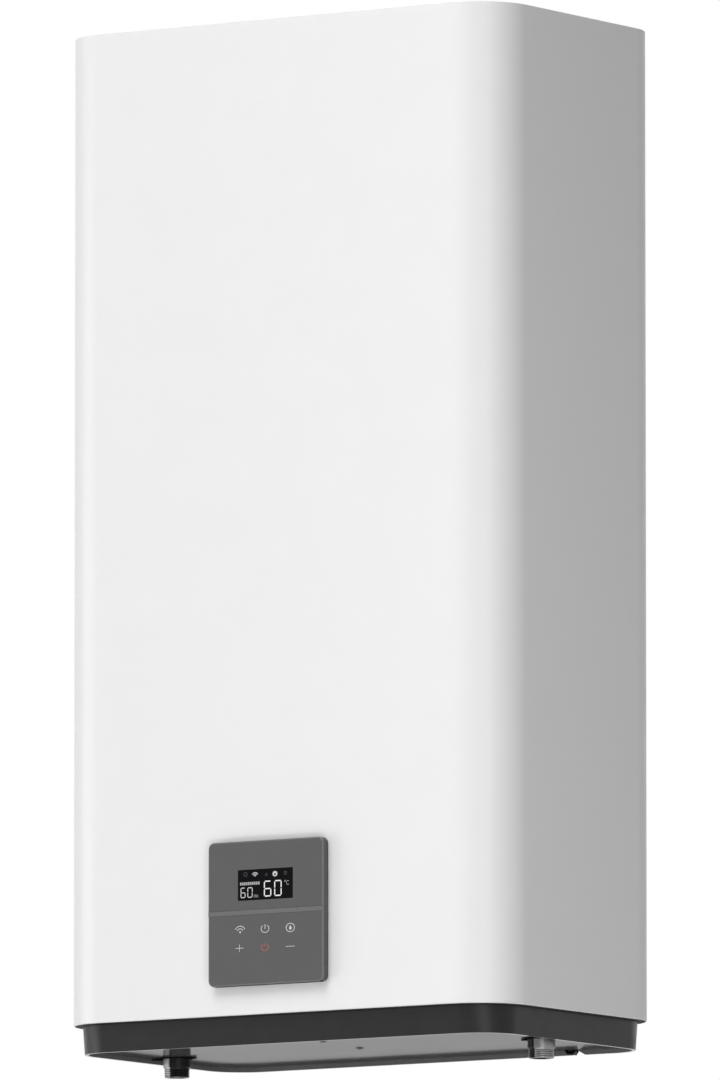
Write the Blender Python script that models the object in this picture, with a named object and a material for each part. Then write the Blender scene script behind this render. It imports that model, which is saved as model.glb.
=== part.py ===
"""Flat wall-hung storage water heater with two slim inner tanks side by side.

Heights are measured up from the casing's bottom edge, X from the middle of the width and Y from the
middle of the depth, with the front at -Y. One empty carries every piece, and puts the origin at the
middle of the upper wall rail's back face.
"""

import math

import bmesh
import bpy
from mathutils import Vector

MM = 0.001

# Clearances and counts that many pieces share
SEAT_GAP = 0.3 * MM
OVERRUN = 2 * MM
WELD_DISTANCE = 0.001 * MM
SMOOTH_ANGLE = math.radians(35)
CORNER_STEPS = 8
SMALL_CORNER_STEPS = 3
PIPE_SIDES = 24
SMALL_SIDES = 12
BOLT_SIDES = 8
HEX_SIDES = 6
TANK_SIDES = 24
DOME_STEPS = 4
BEND_STEPS = 5
LEAD_STEPS = 3

# Casing: one painted sheet wrapped round, with its bottom edge rolled in
CASING_WIDTH = 435 * MM
CASING_DEPTH = 257.5 * MM
CASING_HEIGHT = 818 * MM
CASING_CORNER = 45 * MM
CASING_WALL = 0.8 * MM
CASING_HEM = 1.5 * MM
CASING_FLANGE = 16 * MM
REAR_SIDE_LIP = 57 * MM
REAR_END_LIP = 30 * MM

# Top cap: a shallow pressed pan inside the casing's upper edge
CAP_WALL = 0.8 * MM
CAP_FLANGE = 18 * MM
CAP_EDGE = 1.2 * MM

# Back panel: its field is pressed out flush with the casing's rear lips
BACK_WALL = 0.8 * MM
BACK_OVERLAP = 10 * MM
BACK_STEP = 2 * MM
BACK_CORNER = 6 * MM

# Skirt below the casing, and the plate set back in it
SKIRT_DROP = 23.3 * MM
SKIRT_TOP_INSET = 8 * MM
SKIRT_DRAFT = 1.5 * MM
SKIRT_CORNER = 36 * MM
SKIRT_WALL = 3 * MM
SKIRT_FLANGE = 10 * MM
SKIRT_FLANGE_WALL = 2 * MM
LEDGE_WIDTH = 5 * MM
LEDGE_WALL = 2 * MM
PLATE_RECESS = 3.9 * MM
PLATE_WALL = 1.2 * MM

# Inner tanks, with a flanged neck in the middle of each bottom dome
TANK_SIDE_CLEAR = 10.9 * MM
TANK_GAP = 9.2 * MM
TANK_WALL = 1.8 * MM
TANK_BASE = 62 * MM
TANK_HEAD_CLEAR = 31 * MM
DOME_DEPTH = 34 * MM
NECK_RADIUS = 46 * MM
NECK_RIM = 15 * MM
NECK_DROP = 6 * MM
FOAM_START = 26 * MM

# Water pipes
PIPE_RADIUS = 10.5 * MM
PIPE_BORE = 7.5 * MM
PIPE_DROP = 36.1 * MM
PIPE_FORWARD = 2.7 * MM
PIPE_INSET = 28 * MM
PIPE_CHAMFER = 1.2 * MM
SHOULDER_RADIUS = 11.4 * MM
SHOULDER_DROP = 27.8 * MM
SHOULDER_RISE = 6 * MM
COLLAR_RADIUS = 13 * MM
COLLAR_WALL = 1 * MM
COLLAR_EAR_REACH = 19.5 * MM
COLLAR_EAR_DEPTH = 13 * MM
COLLAR_SKIRT_CLEAR = 1.2 * MM
TRANSFER_RADIUS = 8 * MM
TRANSFER_BORE = 6.5 * MM
TRANSFER_BEND = 18 * MM
TRANSFER_LOW = 30 * MM
TRANSFER_INSET = 40 * MM
STANDPIPE_CLEAR = 45 * MM
STANDPIPE_WALL = 1.3 * MM
STANDPIPE_PLUG = 15 * MM
DIFFUSER_RADIUS = 14 * MM
DIFFUSER_GRIP = 5 * MM
DIFFUSER_RISE = 20 * MM
DIFFUSER_ROOF = 2 * MM
DIFFUSER_SLOT = 8 * MM
DIFFUSER_SLOT_LOW = 2 * MM
DIFFUSER_SLOT_HIGH = 14 * MM

# Heads that close the tank necks
HEAD_WALL = 4 * MM
GASKET_WALL = 3 * MM
GASKET_WIDTH = 5 * MM
BOLT_EDGE = 5 * MM
BOLT_RADIUS = 3 * MM
BOLT_HEAD_RADIUS = 6.5 * MM
BOLT_HEAD_HEIGHT = 5 * MM
BOLT_REACH = 6 * MM
BOLT_COUNT = 4
ELEMENT_RADIUS = 4.2 * MM
ELEMENT_SPREAD = 28 * MM
ELEMENT_REACH = 290 * MM
ELEMENT_PIN = 14 * MM
ANODE_RADIUS = 10.5 * MM
ANODE_LENGTH = 200 * MM
ANODE_OFFSET = 17 * MM
ANODE_STUD_RADIUS = 3 * MM
ANODE_STUD_REACH = 9 * MM
POCKET_RADIUS = 4 * MM
POCKET_BORE = 2.8 * MM
POCKET_OFFSET = 16 * MM
POCKET_LENGTH = 180 * MM
POCKET_LIP = 2 * MM
PROBE_LENGTH = 90 * MM

# Control panel on the front
PANEL_WIDTH = 112.9 * MM
PANEL_SHIFT = -1.6 * MM
PANEL_HEIGHT = 118.2 * MM
PANEL_RISE = 23.5 * MM
PANEL_PROUD = 8.3 * MM
PANEL_CORNER = 5 * MM
PANEL_BEVEL = 1.2 * MM
PANEL_BASE = 1.5 * MM
PANEL_BASE_INSET = 0.4 * MM
PANEL_WALL = 2 * MM
PANEL_FACE_WALL = 2 * MM
PANEL_STRIPE_RISE = 57.6 * MM
PANEL_STRIPE_HEIGHT = 4 * MM
PANEL_STRIPE_DEPTH = 0.4 * MM
BOSS_INSET = 6 * MM
BOSS_DEPTH = 15 * MM
DISPLAY_WIDTH = 53.2 * MM
DISPLAY_HEIGHT = 24.4 * MM
DISPLAY_SHIFT = -1.8 * MM
DISPLAY_RISE = 81.9 * MM
DISPLAY_SEAT = 3 * MM
MODULE_DEPTH = 6 * MM
BOARD_WALL = 1.6 * MM
KEY_SPACING = 24.6 * MM
KEY_ROW_RISES = (46 * MM, 30.7 * MM)
KEY_RADIUS = 5 * MM
PLUG_SIZE = 8 * MM
PLUG_DEPTH = 6 * MM
SIGNAL_SHIFT = 30 * MM
SIGNAL_HEIGHT = 46 * MM
SIGNAL_RADIUS = 2.5 * MM

# Electronics box in the lower compartment
BOX_HALF_WIDTH = 92 * MM
BOX_NECK_CLEAR = 15.7 * MM
BOX_HEIGHT = 60 * MM
BOX_WALL = 2 * MM
BOX_FOOT_WIDTH = 14 * MM
BOX_FOOT_WALL = 5 * MM
BOX_FOOT_INSET = 12 * MM
LID_WALL = 2 * MM
POWER_BOARD_DROP = 6 * MM
RELAY_LENGTH = 22 * MM
RELAY_DEPTH = 16 * MM
RELAY_HEIGHT = 18 * MM
RELAY_INSET = 30 * MM
RELAY_PITCH = 28 * MM
COIL_LENGTH = 34 * MM
COIL_DEPTH = 24 * MM
COIL_HEIGHT = 24 * MM
COIL_INSET = 26 * MM
CAPACITOR_RADIUS = 7 * MM
CAPACITOR_HEIGHT = 22 * MM

# Plate screws, and what they reach inside
SCREW_HEAD_RADIUS = 3.5 * MM
SCREW_HEAD_HEIGHT = 0.8 * MM
SCREW_RADIUS = 1.5 * MM
SCREW_LENGTH = 10 * MM
FRONT_SCREW_X = 12 * MM
FRONT_SCREW_INSET = 11.3 * MM
POST_RADIUS = 5 * MM
STRAP_WALL = 1.5 * MM
STRAP_HALF_WIDTH = 12 * MM
STRAP_CLEAR = 2.8 * MM
STRAP_END = 10 * MM
STRAP_TAB = 13 * MM

# Safety cut-out with its reset button
CUTOUT_SHIFT = -40 * MM
CUTOUT_HALF_WIDTH = 17 * MM
CUTOUT_DEPTH = 28 * MM
CUTOUT_BASE = 18 * MM
CUTOUT_HEIGHT = 28 * MM
CUTOUT_CAPILLARY_HEIGHT = 32 * MM
BUTTON_STROKE = 1.8 * MM
BUTTON_STEM_RADIUS = 2.5 * MM
BUTTON_STEM_LENGTH = 12 * MM
BUTTON_CAP_RADIUS = 3.8 * MM
BUTTON_CAP_HEIGHT = 4 * MM

# Mains entry
GLAND_INSET = 86.5 * MM
GLAND_HEIGHT = -18.2 * MM
GLAND_RADIUS = 4.2 * MM
GLAND_BORE = 3.2 * MM
GLAND_NUT_RADIUS = 4.8 * MM
GLAND_NUT_WALL = 2.5 * MM
GLAND_FLANGE_RADIUS = 4.7 * MM
GLAND_FLANGE_WALL = 1.5 * MM
NOTCH_EDGE = 4.2 * MM
NOTCH_LEAD_IN = 9.3 * MM
TERMINAL_INSET = 35.5 * MM
TERMINAL_LEVEL = 48 * MM
TERMINAL_LENGTH = 50 * MM
TERMINAL_DEPTH = 20 * MM
TERMINAL_HEIGHT = 24 * MM
TERMINAL_GROOVE = 8 * MM
TERMINAL_GROOVE_DEPTH = 4 * MM
TERMINAL_POLES = 3
EARTH_SPACING = 45 * MM
EARTH_RADIUS = 2.5 * MM
EARTH_LENGTH = 16 * MM
EARTH_NUT_RADIUS = 5 * MM
EARTH_NUT_WALL = 4 * MM
LEAD_RADIUS = 2.5 * MM
FINE_LEAD_RADIUS = 1.2 * MM

# Where the leads pass, as shares of the gaps they cross
BULB_LINE_SHARES = ((0.25, 1.2, 2.0), (0.75, 0.3, 1.6))
BULB_LINE_END_SHARE = 0.45
SENSOR_LINE_SHARES = (0.5, 1.3, 0.8, 0.8, 0.15)
ELEMENT_LEAD_SHARES = (0.3, 0.75)
MAINS_LEAD_SHARES = (0.6, 0.7, 0.35, 0.3, 0.75)

# Wall rails
RAIL_STANDOFF = 12 * MM
RAIL_WALL = 2.5 * MM
RAIL_HEIGHT = 46 * MM
UPPER_RAIL_OVERHANG = 44.4 * MM
LOWER_RAIL_OVERHANG = 24.4 * MM
UPPER_RAIL_DROP = 131 * MM
LOWER_RAIL_LEVEL = 150 * MM
LEG_WIDTH = 30 * MM
LEG_RISE = 3 * MM
FOOT_HEIGHT = 30 * MM
SLOT_SPACING = 140 * MM
SLOT_WIDTH = 14 * MM
SLOT_HEIGHT = 28 * MM
SLOT_CORNER = 2 * MM
SLOT_RAISE = 3 * MM

# Planes and places that follow from the sizes above
FRONT = -CASING_DEPTH / 2
REAR = CASING_DEPTH / 2
RIM = -SKIRT_DROP
PLATE_LOW = RIM + PLATE_RECESS
PLATE_HIGH = PLATE_LOW + PLATE_WALL
LEDGE_LOW = PLATE_HIGH + SEAT_GAP
LEDGE_HIGH = LEDGE_LOW + LEDGE_WALL
SKIRT_BOTTOM_INSET = SKIRT_TOP_INSET + SKIRT_DRAFT
SKIRT_INNER_INSET = SKIRT_BOTTOM_INSET + SKIRT_WALL
TANK_RADIUS = (CASING_WIDTH / 2 - TANK_SIDE_CLEAR - TANK_GAP / 2) / 2
TANK_X = TANK_RADIUS + TANK_GAP / 2
TANK_TOP = CASING_HEIGHT - TANK_HEAD_CLEAR
NECK_FACE = TANK_BASE - NECK_DROP
NECK_BORE = NECK_RADIUS - NECK_RIM
GASKET_RADIUS = NECK_BORE + GASKET_WIDTH
BOLT_CIRCLE = NECK_RADIUS - BOLT_EDGE
HEAD_HIGH = NECK_FACE - SEAT_GAP - GASKET_WALL - SEAT_GAP
HEAD_LOW = HEAD_HIGH - HEAD_WALL
PORT_OFFSET = (NECK_RADIUS + TANK_RADIUS) / 2
PIPE_X = TANK_X + PORT_OFFSET
PIPE_Y = -PIPE_FORWARD
PIPE_TOP = TANK_BASE + PIPE_INSET
STANDPIPE_TOP = TANK_TOP - STANDPIPE_CLEAR
FOAM_BOTTOM = TANK_BASE + FOAM_START
FOAM_INSET = CASING_WALL + SEAT_GAP
BACK_FIELD = REAR - BACK_WALL
BACK_MARGIN = REAR - CASING_WALL - SEAT_GAP - BACK_WALL
PANEL_FACE = FRONT - PANEL_PROUD
PANEL_FLOOR = PANEL_FACE + PANEL_FACE_WALL + SEAT_GAP
PANEL_INNER = PANEL_FLOOR + PANEL_WALL
DISPLAY_BOARD_FRONT = PANEL_INNER + SEAT_GAP + MODULE_DEPTH
BOSS_REAR = FRONT + BOSS_DEPTH
BOX_FRONT = BOSS_REAR + SEAT_GAP
BOX_REAR = -NECK_RADIUS - BOX_NECK_CLEAR
BOX_MIDDLE = (BOX_FRONT + BOX_REAR) / 2
BOX_FOOT_X = BOX_HALF_WIDTH - BOX_FOOT_INSET
FRONT_SCREW_Y = BOX_REAR - FRONT_SCREW_INSET
BOX_BASE = CASING_WALL + SEAT_GAP
BOX_TOP = BOX_BASE + BOX_HEIGHT
LID_HIGH = BOX_BASE - SEAT_GAP
LID_LOW = LID_HIGH - LID_WALL
LID_FRONT = FRONT + SKIRT_TOP_INSET + SKIRT_FLANGE + 2 * SEAT_GAP
STRAP_LOW = PLATE_HIGH + STRAP_CLEAR
STRAP_FRONT = BOX_REAR + SEAT_GAP
CUTOUT_FRONT = BOX_REAR + SEAT_GAP
BUTTON_Y = CUTOUT_FRONT + CUTOUT_DEPTH / 2
WINDOW_HALF = CASING_WIDTH / 2 - REAR_SIDE_LIP
TERMINAL_X = WINDOW_HALF - TERMINAL_INSET
EARTH_X = TERMINAL_X - EARTH_SPACING
GLAND_X = CASING_WIDTH / 2 - GLAND_INSET
SKIRT_WALL_INNER = REAR - SKIRT_INNER_INSET
GLAND_TOP = GLAND_HEIGHT + GLAND_FLANGE_RADIUS
SKIRT_WALL_OUTER = REAR - SKIRT_TOP_INSET + SKIRT_DRAFT * GLAND_TOP / SKIRT_DROP
RAIL_FRONT = REAR + RAIL_STANDOFF
RAIL_BACK = RAIL_FRONT + RAIL_WALL
UPPER_RAIL_LEVEL = CASING_HEIGHT - UPPER_RAIL_DROP
ORIGIN = Vector((0, RAIL_BACK, UPPER_RAIL_LEVEL))


# Scene and materials


def clear_scene():
    for obj in list(bpy.data.objects):
        bpy.data.objects.remove(obj)


def make_material(name, colour, roughness, metallic=0.0):
    material = bpy.data.materials.new(name)
    material.use_nodes = True
    shader = material.node_tree.nodes["Principled BSDF"]
    shader.inputs["Base Color"].default_value = (*colour, 1.0)
    shader.inputs["Roughness"].default_value = roughness
    shader.inputs["Metallic"].default_value = metallic
    return material


def make_materials():
    return {
        "white_paint": make_material("white_paint", (0.83, 0.83, 0.83), 0.35),
        "dark_plastic": make_material("dark_plastic", (0.045, 0.045, 0.047), 0.45),
        "plate_grey": make_material("plate_grey", (0.42, 0.42, 0.42), 0.5),
        "panel_grey": make_material("panel_grey", (0.12, 0.12, 0.122), 0.4),
        "display_black": make_material("display_black", (0.01, 0.01, 0.012), 0.1),
        "black_plastic": make_material("black_plastic", (0.02, 0.02, 0.02), 0.5),
        "button_red": make_material("button_red", (0.6, 0.03, 0.02), 0.4),
        "white_plastic": make_material("white_plastic", (0.75, 0.75, 0.72), 0.5),
        "rubber": make_material("rubber", (0.03, 0.03, 0.03), 0.8),
        "foam": make_material("foam", (0.85, 0.76, 0.5), 0.95),
        "enamel": make_material("enamel", (0.03, 0.06, 0.14), 0.3),
        "steel": make_material("steel", (0.55, 0.55, 0.56), 0.35, 1.0),
        "zinc": make_material("zinc", (0.62, 0.63, 0.65), 0.45, 1.0),
        "copper": make_material("copper", (0.72, 0.38, 0.24), 0.3, 1.0),
        "magnesium": make_material("magnesium", (0.6, 0.6, 0.6), 0.6, 1.0),
        "board_green": make_material("board_green", (0.02, 0.16, 0.06), 0.5),
    }


def carrier():
    heater = bpy.data.objects.new("heater", None)
    heater.location = -ORIGIN
    bpy.context.scene.collection.objects.link(heater)
    return heater


# Shapes


def add_object(name, bm, material, at=(0, 0, 0)):
    bmesh.ops.remove_doubles(bm, verts=bm.verts, dist=WELD_DISTANCE)
    bmesh.ops.recalc_face_normals(bm, faces=bm.faces)
    mesh = bpy.data.meshes.new(name)
    bm.to_mesh(mesh)
    bm.free()
    mesh.shade_smooth()
    mesh.set_sharp_from_angle(angle=SMOOTH_ANGLE)
    if material:
        mesh.materials.append(material)
    obj = bpy.data.objects.new(name, mesh)
    obj.parent = HEATER
    obj.location = at
    bpy.context.scene.collection.objects.link(obj)
    return obj


def loft(name, rings, material=None, closed=False, at=(0, 0, 0)):
    """A skin over rings of points: capped at both ends, or joined end to end."""
    bm = bmesh.new()
    loops = [[bm.verts.new(point) for point in ring] for ring in rings]
    pairs = list(zip(loops, loops[1:]))
    if closed:
        pairs.append((loops[-1], loops[0]))
    for lower, upper in pairs:
        for i, corner in enumerate(lower):
            j = (i + 1) % len(lower)
            bm.faces.new((corner, lower[j], upper[j], upper[i]))
    if not closed:
        bm.faces.new(loops[0])
        bm.faces.new(loops[-1])
    return add_object(name, bm, material, at)


def turned(name, profile, sides, material=None, at=(0, 0, 0), closed=True):
    """A profile of (radius, height) turned about Z. One that starts and ends on the axis isn't closed."""
    bm = bmesh.new()
    verts = [bm.verts.new((radius, 0, height)) for radius, height in profile]
    edges = [bm.edges.new(pair) for pair in zip(verts, verts[1:])]
    if closed:
        edges.append(bm.edges.new((verts[-1], verts[0])))
    bmesh.ops.spin(
        bm, geom=verts + edges, axis=(0, 0, 1), cent=(0, 0, 0), angle=math.tau, steps=sides, use_merge=True
    )
    return add_object(name, bm, material, at)


def cylinder(name, radius, low, high, sides, material=None, at=(0, 0, 0)):
    turns = [math.tau * k / sides for k in range(sides)]
    circle = [(radius * math.cos(t), radius * math.sin(t)) for t in turns]
    return loft(name, [level(circle, z) for z in (low, high)], material, at=at)


def block(name, low, high, material=None):
    corners = [(low[0], low[1]), (high[0], low[1]), (high[0], high[1]), (low[0], high[1])]
    rings = [[(x, y, z) for x, y in corners] for z in (low[2], high[2])]
    return loft(name, rings, material)


def centred_block(name, centre, size, material=None):
    half = Vector(size) / 2
    return block(name, Vector(centre) - half, Vector(centre) + half, material)


def arc(centre_u, centre_v, radius, start, end, steps):
    points = []
    for k in range(steps + 1):
        angle = math.radians(start + (end - start) * k / steps)
        points.append((centre_u + radius * math.cos(angle), centre_v + radius * math.sin(angle)))
    return points


def rounded_rectangle(low_u, high_u, low_v, high_v, radius, steps=CORNER_STEPS):
    points = arc(high_u - radius, high_v - radius, radius, 0, 90, steps)
    points += arc(low_u + radius, high_v - radius, radius, 90, 180, steps)
    points += arc(low_u + radius, low_v + radius, radius, 180, 270, steps)
    points += arc(high_u - radius, low_v + radius, radius, 270, 360, steps)
    return points


def level(outline, z):
    return [(x, y, z) for x, y in outline]


def upright(outline, y):
    return [(x, y, z) for x, z in outline]


def sideways(outline, x):
    return [(x, y, z) for y, z in outline]


def tube_rings(path, radius, sides):
    """Circles square to a path, turned as little as they can be from one to the next."""
    points = [Vector(point) for point in path]
    rings = []
    normal = None
    for i, point in enumerate(points):
        before = points[max(i - 1, 0)]
        after = points[min(i + 1, len(points) - 1)]
        along = (after - before).normalized()
        if normal is None:
            normal = along.orthogonal().normalized()
        normal = (normal - along * normal.dot(along)).normalized()
        across = along.cross(normal)
        turns = [math.tau * k / sides for k in range(sides)]
        rings.append([point + radius * (normal * math.cos(t) + across * math.sin(t)) for t in turns])
    return rings


def bent_pipe(name, path, radius, bore, sides, material):
    outside = tube_rings(path, radius, sides)
    inside = tube_rings(path, bore, sides)
    return loft(name, outside + inside[::-1], material, closed=True)


def smooth_path(points, steps):
    """A Catmull-Rom curve through the points."""
    points = [Vector(point) for point in points]
    ends = [2 * points[0] - points[1], *points, 2 * points[-1] - points[-2]]
    path = []
    for a, b, c, d in zip(ends, ends[1:], ends[2:], ends[3:]):
        for k in range(steps):
            t = k / steps
            path.append(
                ((3 * b - a - 3 * c + d) * t**3 + (2 * a - 5 * b + 4 * c - d) * t**2 + (c - a) * t) / 2 + b
            )
    return path + [points[-1]]


def lead(name, points, radius, material):
    """A round wire along a smooth curve, as a bevelled curve with filled ends."""
    path = smooth_path(points, LEAD_STEPS)
    curve = bpy.data.curves.new(name, "CURVE")
    curve.dimensions = "3D"
    curve.bevel_depth = radius
    curve.bevel_resolution = 1
    curve.use_fill_caps = True
    spline = curve.splines.new("POLY")
    spline.points.add(len(path) - 1)
    for spot, point in zip(spline.points, path):
        spot.co = (*point, 1)
    curve.materials.append(material)
    obj = bpy.data.objects.new(name, curve)
    obj.parent = HEATER
    bpy.context.scene.collection.objects.link(obj)
    return obj


def boolean(target, helper, operation):
    modifier = target.modifiers.new(helper.name, "BOOLEAN")
    modifier.operation = operation
    modifier.object = helper
    helper.hide_render = True
    helper.display_type = "WIRE"


def cut(target, helper):
    boolean(target, helper, "DIFFERENCE")


def join(target, helper):
    boolean(target, helper, "UNION")


def lay_along_y(obj, at):
    """Turns a piece made along +Z to lie along +Y, and puts its start at a point."""
    obj.rotation_euler = (-math.pi / 2, 0, 0)
    obj.location = at


# Casing, top cap and back panel


def casing_outline(inset):
    return rounded_rectangle(
        -CASING_WIDTH / 2 + inset,
        CASING_WIDTH / 2 - inset,
        FRONT + inset,
        REAR - inset,
        CASING_CORNER - inset,
    )


def panel_outline(inset):
    """The control panel's outline as (x, z), drawn in by an inset."""
    return rounded_rectangle(
        PANEL_SHIFT - PANEL_WIDTH / 2 + inset,
        PANEL_SHIFT + PANEL_WIDTH / 2 - inset,
        PANEL_RISE + inset,
        PANEL_RISE + PANEL_HEIGHT - inset,
        max(PANEL_CORNER - inset, PANEL_BEVEL),
        SMALL_CORNER_STEPS,
    )


def back_outline(grow):
    """The casing's rear window as (x, z), grown or, if negative, drawn in."""
    half = WINDOW_HALF + grow
    return rounded_rectangle(
        -half,
        half,
        REAR_END_LIP - grow,
        CASING_HEIGHT - REAR_END_LIP + grow,
        BACK_CORNER,
        SMALL_CORNER_STEPS,
    )


def build_outer_casing():
    section = [(CASING_FLANGE, 0)]
    section += arc(CASING_HEM, CASING_HEM, CASING_HEM, 270, 180, SMALL_CORNER_STEPS)
    section += [(0, CASING_HEIGHT), (CASING_WALL, CASING_HEIGHT)]
    section += arc(CASING_HEM, CASING_HEM, CASING_HEM - CASING_WALL, 180, 270, SMALL_CORNER_STEPS)
    section += [(CASING_FLANGE, CASING_WALL)]
    rings = [level(casing_outline(inset), z) for inset, z in section]
    casing = loft("outer_casing", rings, MATERIALS["white_paint"], closed=True)
    rear = [upright(back_outline(0), y) for y in (REAR - CASING_WALL - OVERRUN, REAR + OVERRUN)]
    cut(casing, loft("rear_window_cutter", rear))
    hole = panel_outline(BOSS_INSET - SEAT_GAP)
    front = [upright(hole, y) for y in (FRONT - OVERRUN, FRONT + CASING_WALL + OVERRUN)]
    cut(casing, loft("panel_window_cutter", front))


def build_top_cap():
    outer = CASING_WALL + SEAT_GAP
    inner = outer + CAP_WALL
    low = CASING_HEIGHT - CAP_FLANGE
    section = [(inner, CASING_HEIGHT - CAP_WALL), (inner, low), (outer, low)]
    section += [
        (outer + CAP_EDGE - u, CASING_HEIGHT - CAP_EDGE + v)
        for u, v in arc(0, 0, CAP_EDGE, 0, 90, SMALL_CORNER_STEPS)
    ]
    loft("top_cap", [level(casing_outline(inset), z) for inset, z in section], MATERIALS["white_paint"])


def build_back_panel():
    steps = (
        (-BACK_STEP - BACK_WALL, BACK_FIELD),
        (-BACK_WALL, BACK_MARGIN),
        (BACK_OVERLAP, BACK_MARGIN),
        (BACK_OVERLAP, BACK_MARGIN + BACK_WALL),
        (-BACK_WALL, BACK_MARGIN + BACK_WALL),
        (-BACK_STEP - BACK_WALL, REAR),
    )
    rings = [upright(back_outline(grow), y) for grow, y in steps]
    panel = loft("back_panel", rings, MATERIALS["zinc"])
    for cutter in leg_windows("back_panel", BACK_MARGIN - OVERRUN):
        cut(panel, cutter)


# Skirt, bottom plate and its screws


def skirt_outline(inset):
    """The skirt's outline as (x, y). Its corners have the skirt's own radius at the top inset."""
    return rounded_rectangle(
        -CASING_WIDTH / 2 + inset,
        CASING_WIDTH / 2 - inset,
        FRONT + inset,
        REAR - inset,
        SKIRT_CORNER - inset + SKIRT_TOP_INSET,
    )


def build_bottom_skirt():
    flange_low = -SEAT_GAP - SKIRT_FLANGE_WALL
    section = (
        (SKIRT_TOP_INSET, -SEAT_GAP),
        (SKIRT_BOTTOM_INSET, RIM),
        (SKIRT_INNER_INSET, RIM),
        (SKIRT_INNER_INSET, LEDGE_LOW),
        (SKIRT_INNER_INSET + LEDGE_WIDTH, LEDGE_LOW),
        (SKIRT_INNER_INSET + LEDGE_WIDTH, LEDGE_HIGH),
        (SKIRT_INNER_INSET, LEDGE_HIGH),
        (SKIRT_INNER_INSET, flange_low),
        (SKIRT_TOP_INSET + SKIRT_FLANGE, flange_low),
        (SKIRT_TOP_INSET + SKIRT_FLANGE, -SEAT_GAP),
    )
    rings = [level(skirt_outline(inset), z) for inset, z in section]
    skirt = loft("bottom_skirt", rings, MATERIALS["dark_plastic"], closed=True)
    cut(skirt, notch_cutter())
    cut(skirt, gland_room("skirt"))


def notch_cutter():
    """The gland's round hole, open to the rim on one side between an upright edge and a sloped one."""
    half = GLAND_RADIUS + SEAT_GAP
    low = RIM - OVERRUN
    reach = half + NOTCH_LEAD_IN * (GLAND_HEIGHT - low) / (GLAND_HEIGHT - RIM)
    turn = 360 - math.degrees(math.acos(NOTCH_EDGE / half))
    outline = arc(GLAND_X, GLAND_HEIGHT, half, 0, turn, 2 * CORNER_STEPS)
    outline += [(GLAND_X + NOTCH_EDGE, low), (GLAND_X + reach, low)]
    ends = (SKIRT_WALL_INNER - OVERRUN, REAR - SKIRT_TOP_INSET + OVERRUN)
    return loft("notch_cutter", [upright(outline, y) for y in ends])


def gland_room(name):
    """Room for the gland's nut, cut from the plate's edge and the ledge over it."""
    half = GLAND_NUT_RADIUS + SEAT_GAP
    low = (GLAND_X - half, SKIRT_WALL_INNER - LEDGE_WIDTH - OVERRUN, RIM - OVERRUN)
    high = (GLAND_X + half, SKIRT_WALL_INNER, LEDGE_HIGH + OVERRUN)
    return block(f"{name}_gland_room", low, high)


def build_bottom_plate():
    outline = skirt_outline(SKIRT_INNER_INSET + SEAT_GAP)
    plate = loft("bottom_plate", [level(outline, z) for z in (PLATE_LOW, PLATE_HIGH)], MATERIALS["plate_grey"])
    low, high = PLATE_LOW - OVERRUN, PLATE_HIGH + OVERRUN
    for x in (-PIPE_X, PIPE_X):
        hole = SHOULDER_RADIUS + SEAT_GAP
        cut(plate, cylinder("pipe_hole", hole, low, high, PIPE_SIDES, at=(x, PIPE_Y, 0)))
    for x, y in ((0, 0), (FRONT_SCREW_X, FRONT_SCREW_Y)):
        cut(plate, cylinder("screw_hole", SCREW_RADIUS + SEAT_GAP, low, high, SMALL_SIDES, at=(x, y, 0)))
    cut(plate, gland_room("plate"))


def build_plate_screw(name, x, y):
    top = PLATE_LOW - SEAT_GAP
    low = top - SCREW_HEAD_HEIGHT
    dome = arc(0, 0, 1, 270, 360, SMALL_CORNER_STEPS)
    profile = [(SCREW_HEAD_RADIUS * u, top + SCREW_HEAD_HEIGHT * v) for u, v in dome]
    profile += [(SCREW_RADIUS, top), (SCREW_RADIUS, top + SCREW_LENGTH), (0, top + SCREW_LENGTH)]
    screw = turned(name, profile, SMALL_SIDES, MATERIALS["steel"], (x, y, 0), closed=False)
    slot_depth = SCREW_HEAD_HEIGHT / 2
    slot = (SCREW_HEAD_RADIUS, SCREW_RADIUS / 2, 2 * slot_depth)
    for size in (slot, (slot[1], slot[0], slot[2])):
        cut(screw, centred_block("screw_slot", (x, y, low), size))


def build_plate_strap():
    """The angle that carries the plate's middle screw, on the rear wall of the electronics box."""
    inner = STRAP_LOW + STRAP_WALL
    outline = (
        (STRAP_FRONT, STRAP_LOW),
        (STRAP_END, STRAP_LOW),
        (STRAP_END, inner),
        (STRAP_FRONT + STRAP_WALL, inner),
        (STRAP_FRONT + STRAP_WALL, BOX_BASE + STRAP_TAB),
        (STRAP_FRONT, BOX_BASE + STRAP_TAB),
    )
    rings = [sideways(outline, x) for x in (-STRAP_HALF_WIDTH, STRAP_HALF_WIDTH)]
    strap = loft("plate_strap", rings, MATERIALS["zinc"])
    low, high = STRAP_LOW - OVERRUN, inner + OVERRUN
    cut(strap, cylinder("strap_hole", SCREW_RADIUS + SEAT_GAP, low, high, SMALL_SIDES))


# Tanks, foam and water pipes


def dome_points(radius, depth, rim, start, end, direction):
    """Points down or up an elliptical dome, from one angle above its rim to another, in degrees."""
    return [(radius * u, rim + direction * depth * v) for u, v in arc(0, 0, 1, start, end, DOME_STEPS)]


def dome_angle(radius, dome_radius):
    return math.degrees(math.acos(radius / dome_radius))


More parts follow.
